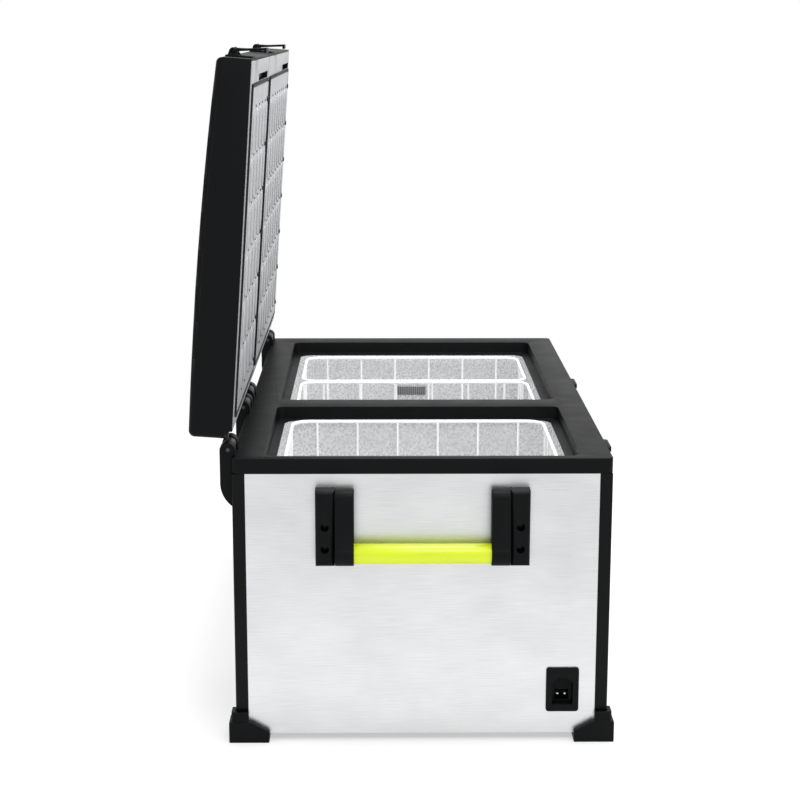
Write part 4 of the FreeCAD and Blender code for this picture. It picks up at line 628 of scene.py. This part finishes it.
def stacked_fins():
    """Aluminium fin stock on tube, drawn 3 mm apart: a painted highlight on the thin edges and painted shade in
    the gaps.
    """
    material, tree, surface, place = new_material(
        "stacked_aluminium_fins", **{"Base Color": linear("#A9ABAD"), "Metallic": 0.9, "Roughness": 0.4}
    )
    if tree:
        edges = add_node(
            tree,
            "ShaderNodeTexWave",
            {"Scale": per_metre(18), "bands_direction": "Y", "wave_profile": "TRI"},
            {"Vector": place},
        ).outputs["Fac"]
        # painted highlight on the fin edges, painted shade in the gaps between them
        tint(tree, surface, edges, "#3A3B3D", "#C4C6C8")
        relief(tree, surface, edges, 0.4, 0.5)
    return material


def rigid_foam():
    """Poured polyurethane foam: pale straw, full of broken cells about 1.5 mm across."""
    material, tree, surface, place = new_material(
        "poured_polyurethane_foam", **{"Base Color": linear("#E6DDB8"), "Roughness": 0.9}
    )
    if tree:
        cells = add_node(tree, "ShaderNodeTexVoronoi", {"Scale": per_metre(1.5)}, {"Vector": place})
        tint(tree, surface, cells.outputs["Distance"], "#CFC59E", "#EFE7C6")
        relief(tree, surface, cells.outputs["Distance"], 0.3, 0.6)
    return material


def coated_pan():
    """Electro-coated steel pan: flat charcoal with a light speckle about 1.2 mm across."""
    material, tree, surface, place = new_material(
        "electro_coated_steel_pan", **{"Base Color": linear("#2A2B2D"), "Roughness": 0.55}
    )
    if tree:
        tint(tree, surface, noise_at(tree, place, 1.2), "#232426", "#343537")
    return material


def glass_filled_nylon():
    """Glass-filled nylon, moulded: black with a dry, slightly streaked skin about 4 mm across."""
    material, tree, surface, place = new_material(
        "moulded_glass_filled_nylon", **{"Base Color": linear("#151515"), "Roughness": 0.55}
    )
    if tree:
        streaks = noise_at(tree, place, 4, 2.0, (1, 1, 0.3))
        tint(tree, surface, streaks, "#0F0F10", "#1D1D1E")
        spread(tree, surface, "Roughness", streaks, 0.48, 0.64)
    return material


FINISHES = {
    "black_moulding": spark_eroded_abs,
    "post_black": powder_coated_steel,
    "steel_sheet": brushed_stainless,
    "pan_sheet": coated_pan,
    "foam": rigid_foam,
    "liner_sheet": embossed_aluminium,
    "evaporator_sheet": mill_aluminium,
    "white_wire": dipped_wire,
    "hinge_metal": blackened_hinge_steel,
    "pin_steel": turned_steel,
    "lid_inner": moulded_polypropylene,
    "seal_rubber": extruded_epdm,
    "lime_grip": lime_tube,
    "screw_steel": black_oxide_steel,
    "contact_brass": tinned_brass,
    "window_plastic": tinted_acrylic,
    "board": lacquered_board,
    "button_rubber": moulded_silicone,
    "light_lens": smoked_polycarbonate,
    "compressor_shell": baked_enamel,
    "coil": stacked_fins,
    "fan_plastic": glass_filled_nylon,
}


# ---- casing -------------------------------------------------------------------------------------------


class COOLER_OT_casing(bpy.types.Operator):
    """Build the moulded top frame, corner posts, feet and sheet casing"""

    bl_idname = "cooler.casing"
    bl_label = "Casing"

    def execute(self, context):
        ease = sizes().edge_ease
        ease_nodes(["top_frame"], 1.6 * ease, 3)
        ease_nodes([f"corner_post_{corner}" for corner in CORNERS], ease)
        ease_nodes([f"corner_foot_{corner}" for corner in CORNERS], 1.4 * ease, 3)
        dress_nodes(["end_panel_near", "end_panel_far", "side_panel_hinge", "side_panel_latch", "base_pan"])
        return {"FINISHED"}


# ---- cold boxes ---------------------------------------------------------------------------------------


LAP = 8 * MM  # liner flange clamped under the frame
LEDGE_SIDE = 12 * MM  # flange seen inside the frame's opening, along both sides
LEDGE_NEAR = 22 * MM  # the same at the inlet end
LEDGE_DIVIDER = 4 * MM  # the same on each side of the bar between the compartments
LEDGE_FAR = 14 * MM  # the same at the far end


def liner_tub(node, near_ledge, far_ledge):
    """A pressed tub with rounded corners and floor, and a flange that reaches under the frame."""
    size = sizes()
    low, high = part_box(node)
    side, near, far = (ledge + LAP for ledge in (LEDGE_SIDE, near_ledge, far_ledge))
    inner_low = Vector((low.x + side, low.y + near, low.z + size.liner_gauge))
    inner_high = Vector((high.x - side, high.y - far, high.z))
    tub = new_block(f"{node}_tub", inner_low, inner_high)
    select_where("edges", is_upright)
    bpy.ops.mesh.bevel(offset=size.liner_corner, segments=6, affect="EDGES")
    select_where("faces", lambda middle, normal: middle.z > inner_high.z - MM)
    bpy.ops.mesh.delete(type="FACE")
    select_where("edges", lambda middle, run: middle.z < inner_low.z + TOUCH)
    bpy.ops.mesh.bevel(offset=size.liner_foot, segments=4, affect="EDGES")
    bpy.ops.mesh.select_all(action="SELECT")
    bpy.ops.mesh.flip_normals()
    select_where("edges", lambda middle, run: middle.z > inner_high.z - TOUCH)
    bpy.ops.mesh.extrude_edges_move()
    whole, inner = high - low, inner_high - inner_low
    middle = (inner_low + inner_high) / 2
    bpy.ops.transform.resize(value=(whole.x / inner.x, whole.y / inner.y, 1), center_override=middle)
    shift = (low + high) / 2 - middle
    bpy.ops.transform.translate(value=(shift.x, shift.y, 0))
    bpy.ops.object.mode_set(mode="OBJECT")
    add_modifier(tub, "SOLIDIFY", thickness=size.liner_gauge, offset=-1, use_even_offset=True)
    smooth(tub, 40)
    return tub


class COOLER_OT_liners(bpy.types.Operator):
    """Build the two embossed liners and dress what lies behind them"""

    bl_idname = "cooler.liners"
    bl_label = "Liners"

    def execute(self, context):
        ledges = {"liner_near": (LEDGE_NEAR, LEDGE_DIVIDER), "liner_far": (LEDGE_DIVIDER, LEDGE_FAR)}
        for node, ends in ledges.items():
            hand_over(liner_tub(node, *ends), BODY_OF[node], embossed_aluminium(), (node,))
        ease_nodes(["cabin_light"], sizes().sheet_ease)
        dress_nodes(["evaporators", "foam_insulation"])
        return {"FINISHED"}


# ---- baskets ------------------------------------------------------------------------------------------


UPRIGHTS = 6  # wires down each long wall
LOWER_RINGS = (0.02, 0.42)  # heights of the two rings below the rim, as shares of the way up to it


def bent_wire(name, low, high, flat, gauge, corner, closed):
    """One wire bent round a rectangle that is flat along one axis: a closed ring, or a U open at the top."""
    put_down()
    middle = (Vector(low) + Vector(high)) / 2
    span = Vector(high) - Vector(low)
    turn = {"z": (0, 0, 0), "y": (math.pi / 2, 0, 0), "x": (0, math.pi / 2, 0)}[flat]
    bpy.ops.mesh.primitive_plane_add(size=1, location=middle, rotation=turn)
    wire = bpy.context.object
    wire.name = name
    bpy.ops.object.transform_apply(location=False, rotation=True, scale=False)
    wire.scale = [value or 1 for value in span]
    bpy.ops.object.transform_apply(location=True, rotation=False, scale=True)
    bpy.ops.object.mode_set(mode="EDIT")
    if closed:
        bpy.ops.mesh.select_all(action="SELECT")
    else:
        select_where("verts", lambda point, normal: point.z < middle.z)
    bpy.ops.mesh.bevel(offset=corner, segments=6, affect="VERTICES")
    bpy.ops.mesh.select_all(action="SELECT")
    bpy.ops.mesh.delete(type="ONLY_FACE")
    if not closed:
        select_where("edges", lambda point, run: point.z > high[2] - TOUCH)
        bpy.ops.mesh.delete(type="EDGE")
    bpy.ops.object.mode_set(mode="OBJECT")
    bpy.ops.object.convert(target="CURVE")
    wire.data.bevel_depth = gauge / 2
    wire.data.bevel_resolution = 2
    wire.data.use_fill_caps = True
    bpy.ops.object.convert(target="MESH")
    return bpy.context.object


def wire_basket(node):
    """A lift-out basket: a rim, two lower rings, and wires bent down the walls and across the floor."""
    size = sizes()
    low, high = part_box(node)
    rim, gauge = size.rim_wire, size.wall_wire
    middle = (low + high) / 2
    rim_z = high.z - rim / 2
    wires = []
    edge = Vector((rim / 2, rim / 2, 0))
    ring_low, ring_high = low + edge, high - edge
    ring = ((ring_low.x, ring_low.y, rim_z), (ring_high.x, ring_high.y, rim_z))
    wires.append(bent_wire("rim", *ring, "z", rim, size.basket_corner, True))
    crossed_floor = 2.5 * gauge
    for height in LOWER_RINGS:
        z = low.z + crossed_floor + height * (rim_z - low.z)
        hoop = ((ring_low.x + gauge, ring_low.y + gauge, z), (ring_high.x - gauge, ring_high.y - gauge, z))
        wires.append(bent_wire("ring", *hoop, "z", gauge, size.basket_corner - gauge, True))
    for index in range(UPRIGHTS):
        x = middle.x + (index - (UPRIGHTS - 1) / 2) * size.wire_pitch
        ends = ((x, ring_low.y, low.z + gauge / 2), (x, ring_high.y, rim_z))
        wires.append(bent_wire("long_wire", *ends, "x", gauge, 3 * gauge, False))
    count = 2 * math.floor((high.y - low.y - 2 * size.basket_corner) / 2 / size.end_pitch) + 1
    for index in range(count):
        y = middle.y + (index - (count - 1) / 2) * size.end_pitch
        ends = ((ring_low.x, y, low.z + 1.5 * gauge), (ring_high.x, y, rim_z))
        wires.append(bent_wire("cross_wire", *ends, "y", gauge, 3 * gauge, False))
    basket = joined(f"{node}_wire", wires)
    bpy.ops.object.mode_set(mode="EDIT")
    bpy.ops.mesh.select_all(action="SELECT")
    bpy.ops.mesh.remove_doubles(threshold=TOUCH)
    bpy.ops.object.mode_set(mode="OBJECT")
    smooth(basket, 50)
    return basket


class COOLER_OT_baskets(bpy.types.Operator):
    """Build the three white wire baskets"""

    bl_idname = "cooler.baskets"
    bl_label = "Baskets"

    def execute(self, context):
        for node in ("basket_near", "basket_middle", "basket_far"):
            hand_over(wire_basket(node), BODY_OF[node], dipped_wire(), (node,))
        return {"FINISHED"}


# ---- lids ---------------------------------------------------------------------------------------------

PANEL_FACE = 8.5 * MM  # on the closed lid, the raised part's face below the hinge axis
PLATE_FACE = 6 * MM  # the plate's face below the hinge axis
PLATE_EASE = 0.5 * MM  # easing of the plate's edges
FIRST_SCREWS = 443.6 * MM  # row of screws nearest the latch, across from the hinge axis
POCKET_START = 472.8 * MM  # the plate's pocket, across from the hinge axis
POCKET_WIDTH = 10 * MM
POCKET_MOUTH = 0.1 * MM  # of the pocket's eased mouth that keeps the plate's colour, outside the painted shade
SEAL_ROOM = 3.8 * MM  # seal and its play round the raised part
SCREW_LINE = 19 * MM  # large screws, in from the raised part's far edge
FLUTE_ROWS = 6
FLUTE_SPACE = 5 * MM  # between the ends of two flutes
FLUTE_FLAT = 0.5 * MM  # half of what stays straight across a flute's round end
LARGE_SCREW = (4 * MM, 2.2 * MM)  # radius and height of the head
SMALL_SCREW = (1.5 * MM, 0.9 * MM)


def grid(rows, columns):
    """The moves from the first place of a row of flutes to every place, row by row."""
    size = sizes()
    places = [(row, column) for row in range(rows) for column in range(columns)]
    return [(-row * size.flute_row, column * size.flute_pitch, 0) for row, column in places]


def opened(piece):
    """Turn a piece modelled on the closed lid into the open pose."""
    take_up(piece)
    bpy.ops.object.mode_set(mode="EDIT")
    bpy.ops.mesh.select_all(action="SELECT")
    bpy.ops.transform.rotate(value=LID_OPEN, orient_axis="Y", center_override=HINGE)
    bpy.ops.object.mode_set(mode="OBJECT")


def flute(x, y, face):
    """One raised flute with round ends on the lid's inner panel, facing down on the closed lid."""
    size = sizes()
    half_length = (size.flute_row - FLUTE_SPACE) / 2
    half_width = size.flute_width / 2
    low = (x - half_length, y - half_width, face - size.flute_rise)
    high = (x + half_length, y + half_width, face + SINK)
    piece = new_block("flute", low, high)
    select_where("edges", is_upright)
    bpy.ops.mesh.bevel(offset=half_width - FLUTE_FLAT, segments=6, affect="EDGES")
    select_where("faces", faces_down)
    bpy.ops.mesh.bevel(offset=0.7 * size.flute_rise, segments=2, affect="EDGES")
    bpy.ops.object.mode_set(mode="OBJECT")
    return piece


def panel_screw(x, y, face, radius, rise):
    """A small pan-head screw with a sunk drive, facing down on the closed lid."""
    put_down()
    middle = (x, y, face + (SINK - rise) / 2)
    bpy.ops.mesh.primitive_cylinder_add(vertices=16, radius=radius, depth=rise + SINK, location=middle)
    screw = bpy.context.object
    bpy.ops.object.transform_apply(location=True, rotation=True, scale=True)
    bpy.ops.object.mode_set(mode="EDIT")
    select_where("faces", faces_down)
    bpy.ops.mesh.bevel(offset=0.25 * radius, segments=2, affect="EDGES")
    select_where("faces", lambda middle, normal: normal.z < -0.99)
    bpy.ops.mesh.inset(thickness=0.3 * radius)
    bpy.ops.transform.translate(value=(0, 0, 0.5 * rise))
    bpy.ops.object.mode_set(mode="OBJECT")
    return screw


def lid_panel(name):
    """The lid's inner panel: the moulded plate with its rows of flutes, and the screws between the rows."""
    size = sizes()
    plate = eased(f"lid_panel_{name}", PLATE_EASE)
    seal_low, seal_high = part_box(f"lid_gasket_{name}")
    face = HINGE.z - PANEL_FACE
    top_row = HINGE.x + FIRST_SCREWS
    near, far = seal_low.y + SEAL_ROOM, seal_high.y - SEAL_ROOM
    columns = math.floor((far - near) / size.flute_pitch)
    start = (near + far) / 2 - (columns - 1) / 2 * size.flute_pitch
    flutes = copies(flute(top_row - size.flute_row / 2, start, face), grid(FLUTE_ROWS, columns))
    body = joined(f"lid_panel_{name}_fluted", flutes)
    opened(body)
    body = joined(f"lid_panel_{name}_fluted", [plate, body])
    smooth(body, 30)
    large = panel_screw(top_row, far - SCREW_LINE, face, *LARGE_SCREW)
    heads = copies(large, grid(FLUTE_ROWS + 1, 1))
    small = panel_screw(top_row, start + size.flute_pitch / 2, face, *SMALL_SCREW)
    heads += copies(small, grid(FLUTE_ROWS + 1, columns - 1))
    screws = joined(f"lid_panel_{name}_screws", heads)
    opened(screws)
    smooth(screws, 30)
    return body, screws


def paint_pocket_shade(panel):
    """Painted shade: the faces of the narrow pocket in front of the raised panel take the lid's black moulding."""

    def in_pocket(middle, normal):
        closed = Matrix.Rotation(LID_OPEN, 3, "Y") @ (middle - HINGE)
        inside = closed.z > POCKET_MOUTH - PLATE_FACE
        return inside and 0 < closed.x - POCKET_START < POCKET_WIDTH

    panel.data.materials.append(spark_eroded_abs())
    take_up(panel)
    bpy.ops.object.mode_set(mode="EDIT")
    # pick the pocket's faces for the painted shade
    select_where("faces", in_pocket)
    panel.active_material_index = 1
    bpy.ops.object.material_slot_assign()
    bpy.ops.object.mode_set(mode="OBJECT")


class COOLER_OT_lids(bpy.types.Operator):
    """Build the lids: moulded shells, fluted inner panels, screws and seals"""

    bl_idname = "cooler.lids"
    bl_label = "Lids"

    def execute(self, context):
        ease_nodes([f"lid_shell_{name}" for name in ENDS], sizes().edge_ease, 3)
        ease_nodes([f"lid_gasket_{name}" for name in ENDS], sizes().sheet_ease)
        for name in ENDS:
            panel, screws = lid_panel(name)
            hand_over(panel, f"lid_{name}", moulded_polypropylene(), (f"lid_panel_{name}",))
            # the pocket's faces are painted black as shade
            paint_pocket_shade(panel)
            hand_over(screws, f"lid_{name}", black_oxide_steel())
        dress_nodes([f"lid_foam_{name}" for name in ENDS])
        return {"FINISHED"}


class COOLER_OT_hinges(bpy.types.Operator):
    """Ease and dress the hinge blocks, leaves and pins"""

    bl_idname = "cooler.hinges"
    bl_label = "Hinges"

    def execute(self, context):
        ease_nodes(["hinge_brackets"], 1.6 * sizes().edge_ease, 3)
        ease_nodes([f"hinge_leaves_{name}" for name in ENDS], sizes().sheet_ease)
        dress_nodes(["hinge_pins"])
        return {"FINISHED"}


class COOLER_OT_latches(bpy.types.Operator):
    """Ease and dress the latch bases, levers and keepers"""

    bl_idname = "cooler.latches"
    bl_label = "Latches"

    def execute(self, context):
        latches = [f"latch_{part}_{name}" for part in ("base", "lever") for name in ENDS]
        ease_nodes(latches + ["latch_keepers"], 0.5 * sizes().edge_ease)
        return {"FINISHED"}


# ---- carry handles ------------------------------------------------------------------------------------


class COOLER_OT_handles(bpy.types.Operator):
    """Build the carry handles: mounts, arms, lime grips, pins and screws"""

    bl_idname = "cooler.handles"
    bl_label = "Carry handles"

    def execute(self, context):
        ease_nodes([f"handle_mounts_{name}" for name in ENDS], sizes().edge_ease, 3)
        ease_nodes([f"handle_arms_{name}" for name in ENDS], 1.5 * sizes().edge_ease, 3)
        ease_nodes([f"handle_grip_{name}" for name in ENDS], sizes().sheet_ease)
        ease_nodes(["handle_pins", "handle_screws"], sizes().sheet_ease)
        return {"FINISHED"}


# ---- electrics and machine bay ------------------------------------------------------------------------


class COOLER_OT_electrics(bpy.types.Operator):
    """Ease and dress the power inlet, control panel and buttons"""

    bl_idname = "cooler.electrics"
    bl_label = "Electrics"

    def execute(self, context):
        ease_nodes(["power_inlet", "control_panel"], 0.6 * sizes().edge_ease)
        ease_nodes(["inlet_pins", "display_window"], sizes().sheet_ease)
        ease_nodes(["button_power", "button_minus", "button_plus"], 0.8 * sizes().edge_ease, 3)
        dress_nodes(["control_board"])
        return {"FINISHED"}


class COOLER_OT_machine_bay(bpy.types.Operator):
    """Ease and dress the vents, fan, condenser and compressor"""

    bl_idname = "cooler.machine_bay"
    bl_label = "Machine bay"

    def execute(self, context):
        ease_nodes(["vent_grilles", "fan_frame"], 0.5 * sizes().edge_ease)
        ease_nodes(["fan_rotor"], sizes().sheet_ease)
        dress_nodes(["condenser", "compressor"])
        return {"FINISHED"}


# ---- stage --------------------------------------------------------------------------------------------

FILL = 0.88  # light of the surround on the fridge, as a share of white
FLOOR_SIDE = 14  # metres
FLOOR_MELT = {"From Min": 0.55, "From Max": 1.6, "To Min": 0.5, "To Max": 1.0}  # metres out, share of white
LAMPS = {  # place from the chest's middle and side of the square in metres, power in watts
    "key_lamp": ((0.5, -2.3, 2.5), 1.4, 27),
    "top_lamp": ((0.2, 0.1, 2.6), 1.4, 62),
    "rear_lamp": ((-1.8, 2.0, 1.8), 1.6, 10),
}
CAMERA_ASIDE = 0.054  # metres from the chest's middle towards the hinge side
CAMERA_DISTANCE = 2.659  # metres from the chest's middle
CAMERA_HEIGHT = 0.9435  # metres above the floor
CAMERA_TURN, CAMERA_TILT, CAMERA_ROLL = (math.radians(degrees) for degrees in (-0.629, 90 - 12.094, 0.069))
FOCAL_LENGTH = 78.47  # millimetres, as the sensor
SENSOR = 36


def shown_as_white(tree):
    """A factor that is one for rays from the eye, mirrors and glass, which should meet a white studio."""
    path = add_node(tree, "ShaderNodeLightPath")
    first = add_node(
        tree,
        "ShaderNodeMath",
        {"operation": "MAXIMUM"},
        {0: path.outputs["Is Camera Ray"], 1: path.outputs["Is Glossy Ray"]},
    )
    both = add_node(
        tree,
        "ShaderNodeMath",
        {"operation": "MAXIMUM"},
        {0: first.outputs[0], 1: path.outputs["Is Transmission Ray"]},
    )
    return both.outputs[0]


def studio_world():
    """A surround that is white to the eye and lights the fridge evenly from all sides."""
    world = bpy.data.worlds.new("studio")
    world.use_nodes = True
    tree = world.node_tree
    tree.nodes.clear()
    fill = add_node(tree, "ShaderNodeBackground", {"Color": (1, 1, 1, 1), "Strength": FILL})
    white = add_node(tree, "ShaderNodeBackground", {"Color": (1, 1, 1, 1), "Strength": 1.0})
    mixed = add_node(
        tree, "ShaderNodeMixShader", {}, {0: shown_as_white(tree), 1: fill.outputs[0], 2: white.outputs[0]}
    )
    add_node(tree, "ShaderNodeOutputWorld", links={"Surface": mixed.outputs[0]})
    bpy.context.scene.world = world


def studio_floor_paint():
    """Matt white floor paint with a faint roller stipple about 6 mm across. To the eye it melts into the
    white surround with distance, and keeps the fridge's shadow close by."""
    material, tree, surface, place = new_material(
        "rolled_white_floor_paint", **{"Base Color": linear(colours().floor), "Roughness": 0.9}
    )
    if tree:
        relief(tree, surface, noise_at(tree, place, 6), 0.1, 0.1)
        away = add_node(tree, "ShaderNodeVectorMath", {"operation": "LENGTH"}, {0: place})
        share = add_node(tree, "ShaderNodeMapRange", FLOOR_MELT, {"Value": away.outputs["Value"]})
        seen = add_node(
            tree,
            "ShaderNodeMath",
            {"operation": "MULTIPLY"},
            {0: share.outputs["Result"], 1: shown_as_white(tree)},
        )
        white = add_node(tree, "ShaderNodeEmission", {"Color": (1, 1, 1, 1), "Strength": 1.0})
        paint = {0: seen.outputs[0], 1: surface.outputs["BSDF"], 2: white.outputs[0]}
        melted = add_node(tree, "ShaderNodeMixShader", {}, paint)
        tree.links.new(melted.outputs[0], tree.nodes["Material Output"].inputs["Surface"])
    return material


def soft_lamp(name, place, target, side, power):
    """A square lamp that looks at a point."""
    put_down()
    bpy.ops.object.light_add(type="AREA", location=place)
    lamp = bpy.context.object
    lamp.name = name
    lamp.data.size = side
    lamp.data.energy = power
    direction = Vector(target) - Vector(place)
    lamp.rotation_euler = direction.to_track_quat("-Z", "Y").to_euler()


class COOLER_OT_stage(bpy.types.Operator):
    """Set the floor, the lamps and the camera"""

    bl_idname = "cooler.stage"
    bl_label = "Stage"

    def execute(self, context):
        scene = context.scene
        scene.view_settings.view_transform = "Standard"
        studio_world()
        put_down()
        bpy.ops.mesh.primitive_plane_add(size=FLOOR_SIDE, location=(0, 0, 0))
        floor = context.object
        floor.name = "studio_floor"
        floor.data.materials.append(studio_floor_paint())
        low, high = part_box("top_frame")
        middle = Vector(((low.x + high.x) / 2, 0, high.z / 2))
        for name, (place, side, power) in LAMPS.items():
            soft_lamp(name, middle + Vector(place), middle, side, power)
        put_down()
        bpy.ops.object.camera_add(location=(middle.x - CAMERA_ASIDE, -CAMERA_DISTANCE, CAMERA_HEIGHT))
        camera = context.object
        turn = Matrix.Rotation(CAMERA_TURN, 4, "Z")
        tilt = Matrix.Rotation(CAMERA_TILT, 4, "X")
        roll = Matrix.Rotation(CAMERA_ROLL, 4, "Z")
        camera.rotation_euler = (turn @ tilt @ roll).to_euler()
        camera.data.lens = FOCAL_LENGTH
        camera.data.sensor_width = SENSOR
        scene.camera = camera
        return {"FINISHED"}


# ---- sidebar and running ------------------------------------------------------------------------------

STEPS = (
    COOLER_OT_casing,
    COOLER_OT_liners,
    COOLER_OT_baskets,
    COOLER_OT_lids,
    COOLER_OT_hinges,
    COOLER_OT_latches,
    COOLER_OT_handles,
    COOLER_OT_electrics,
    COOLER_OT_machine_bay,
    COOLER_OT_stage,
)


class COOLER_PT_sidebar(bpy.types.Panel):
    """The steps that build the fridge, with its sizes and colours"""

    bl_label = "Cooler fridge"
    bl_idname = "COOLER_PT_sidebar"
    bl_space_type = "VIEW_3D"
    bl_region_type = "UI"
    bl_category = "Cooler"

    def draw(self, context):
        for step in STEPS:
            self.layout.operator(step.bl_idname)
        for group in (context.scene.cooler_sizes, context.scene.cooler_colours):
            box = self.layout.box()
            for name in group.bl_rna.properties.keys():
                if name not in ("rna_type", "name"):
                    box.prop(group, name)


CLASSES = (CoolerSizes, CoolerColours) + STEPS + (COOLER_PT_sidebar,)


def register():
    for item in CLASSES:
        bpy.utils.register_class(item)
    bpy.types.Scene.cooler_sizes = bpy.props.PointerProperty(type=CoolerSizes)
    bpy.types.Scene.cooler_colours = bpy.props.PointerProperty(type=CoolerColours)


def unregister():
    del bpy.types.Scene.cooler_colours
    del bpy.types.Scene.cooler_sizes
    for item in reversed(CLASSES):
        bpy.utils.unregister_class(item)


def main():
    register()
    put_down()
    for step in STEPS:
        group, name = step.bl_idname.split(".")
        getattr(getattr(bpy.ops, group), name)()


if __name__ == "__main__":
    main()
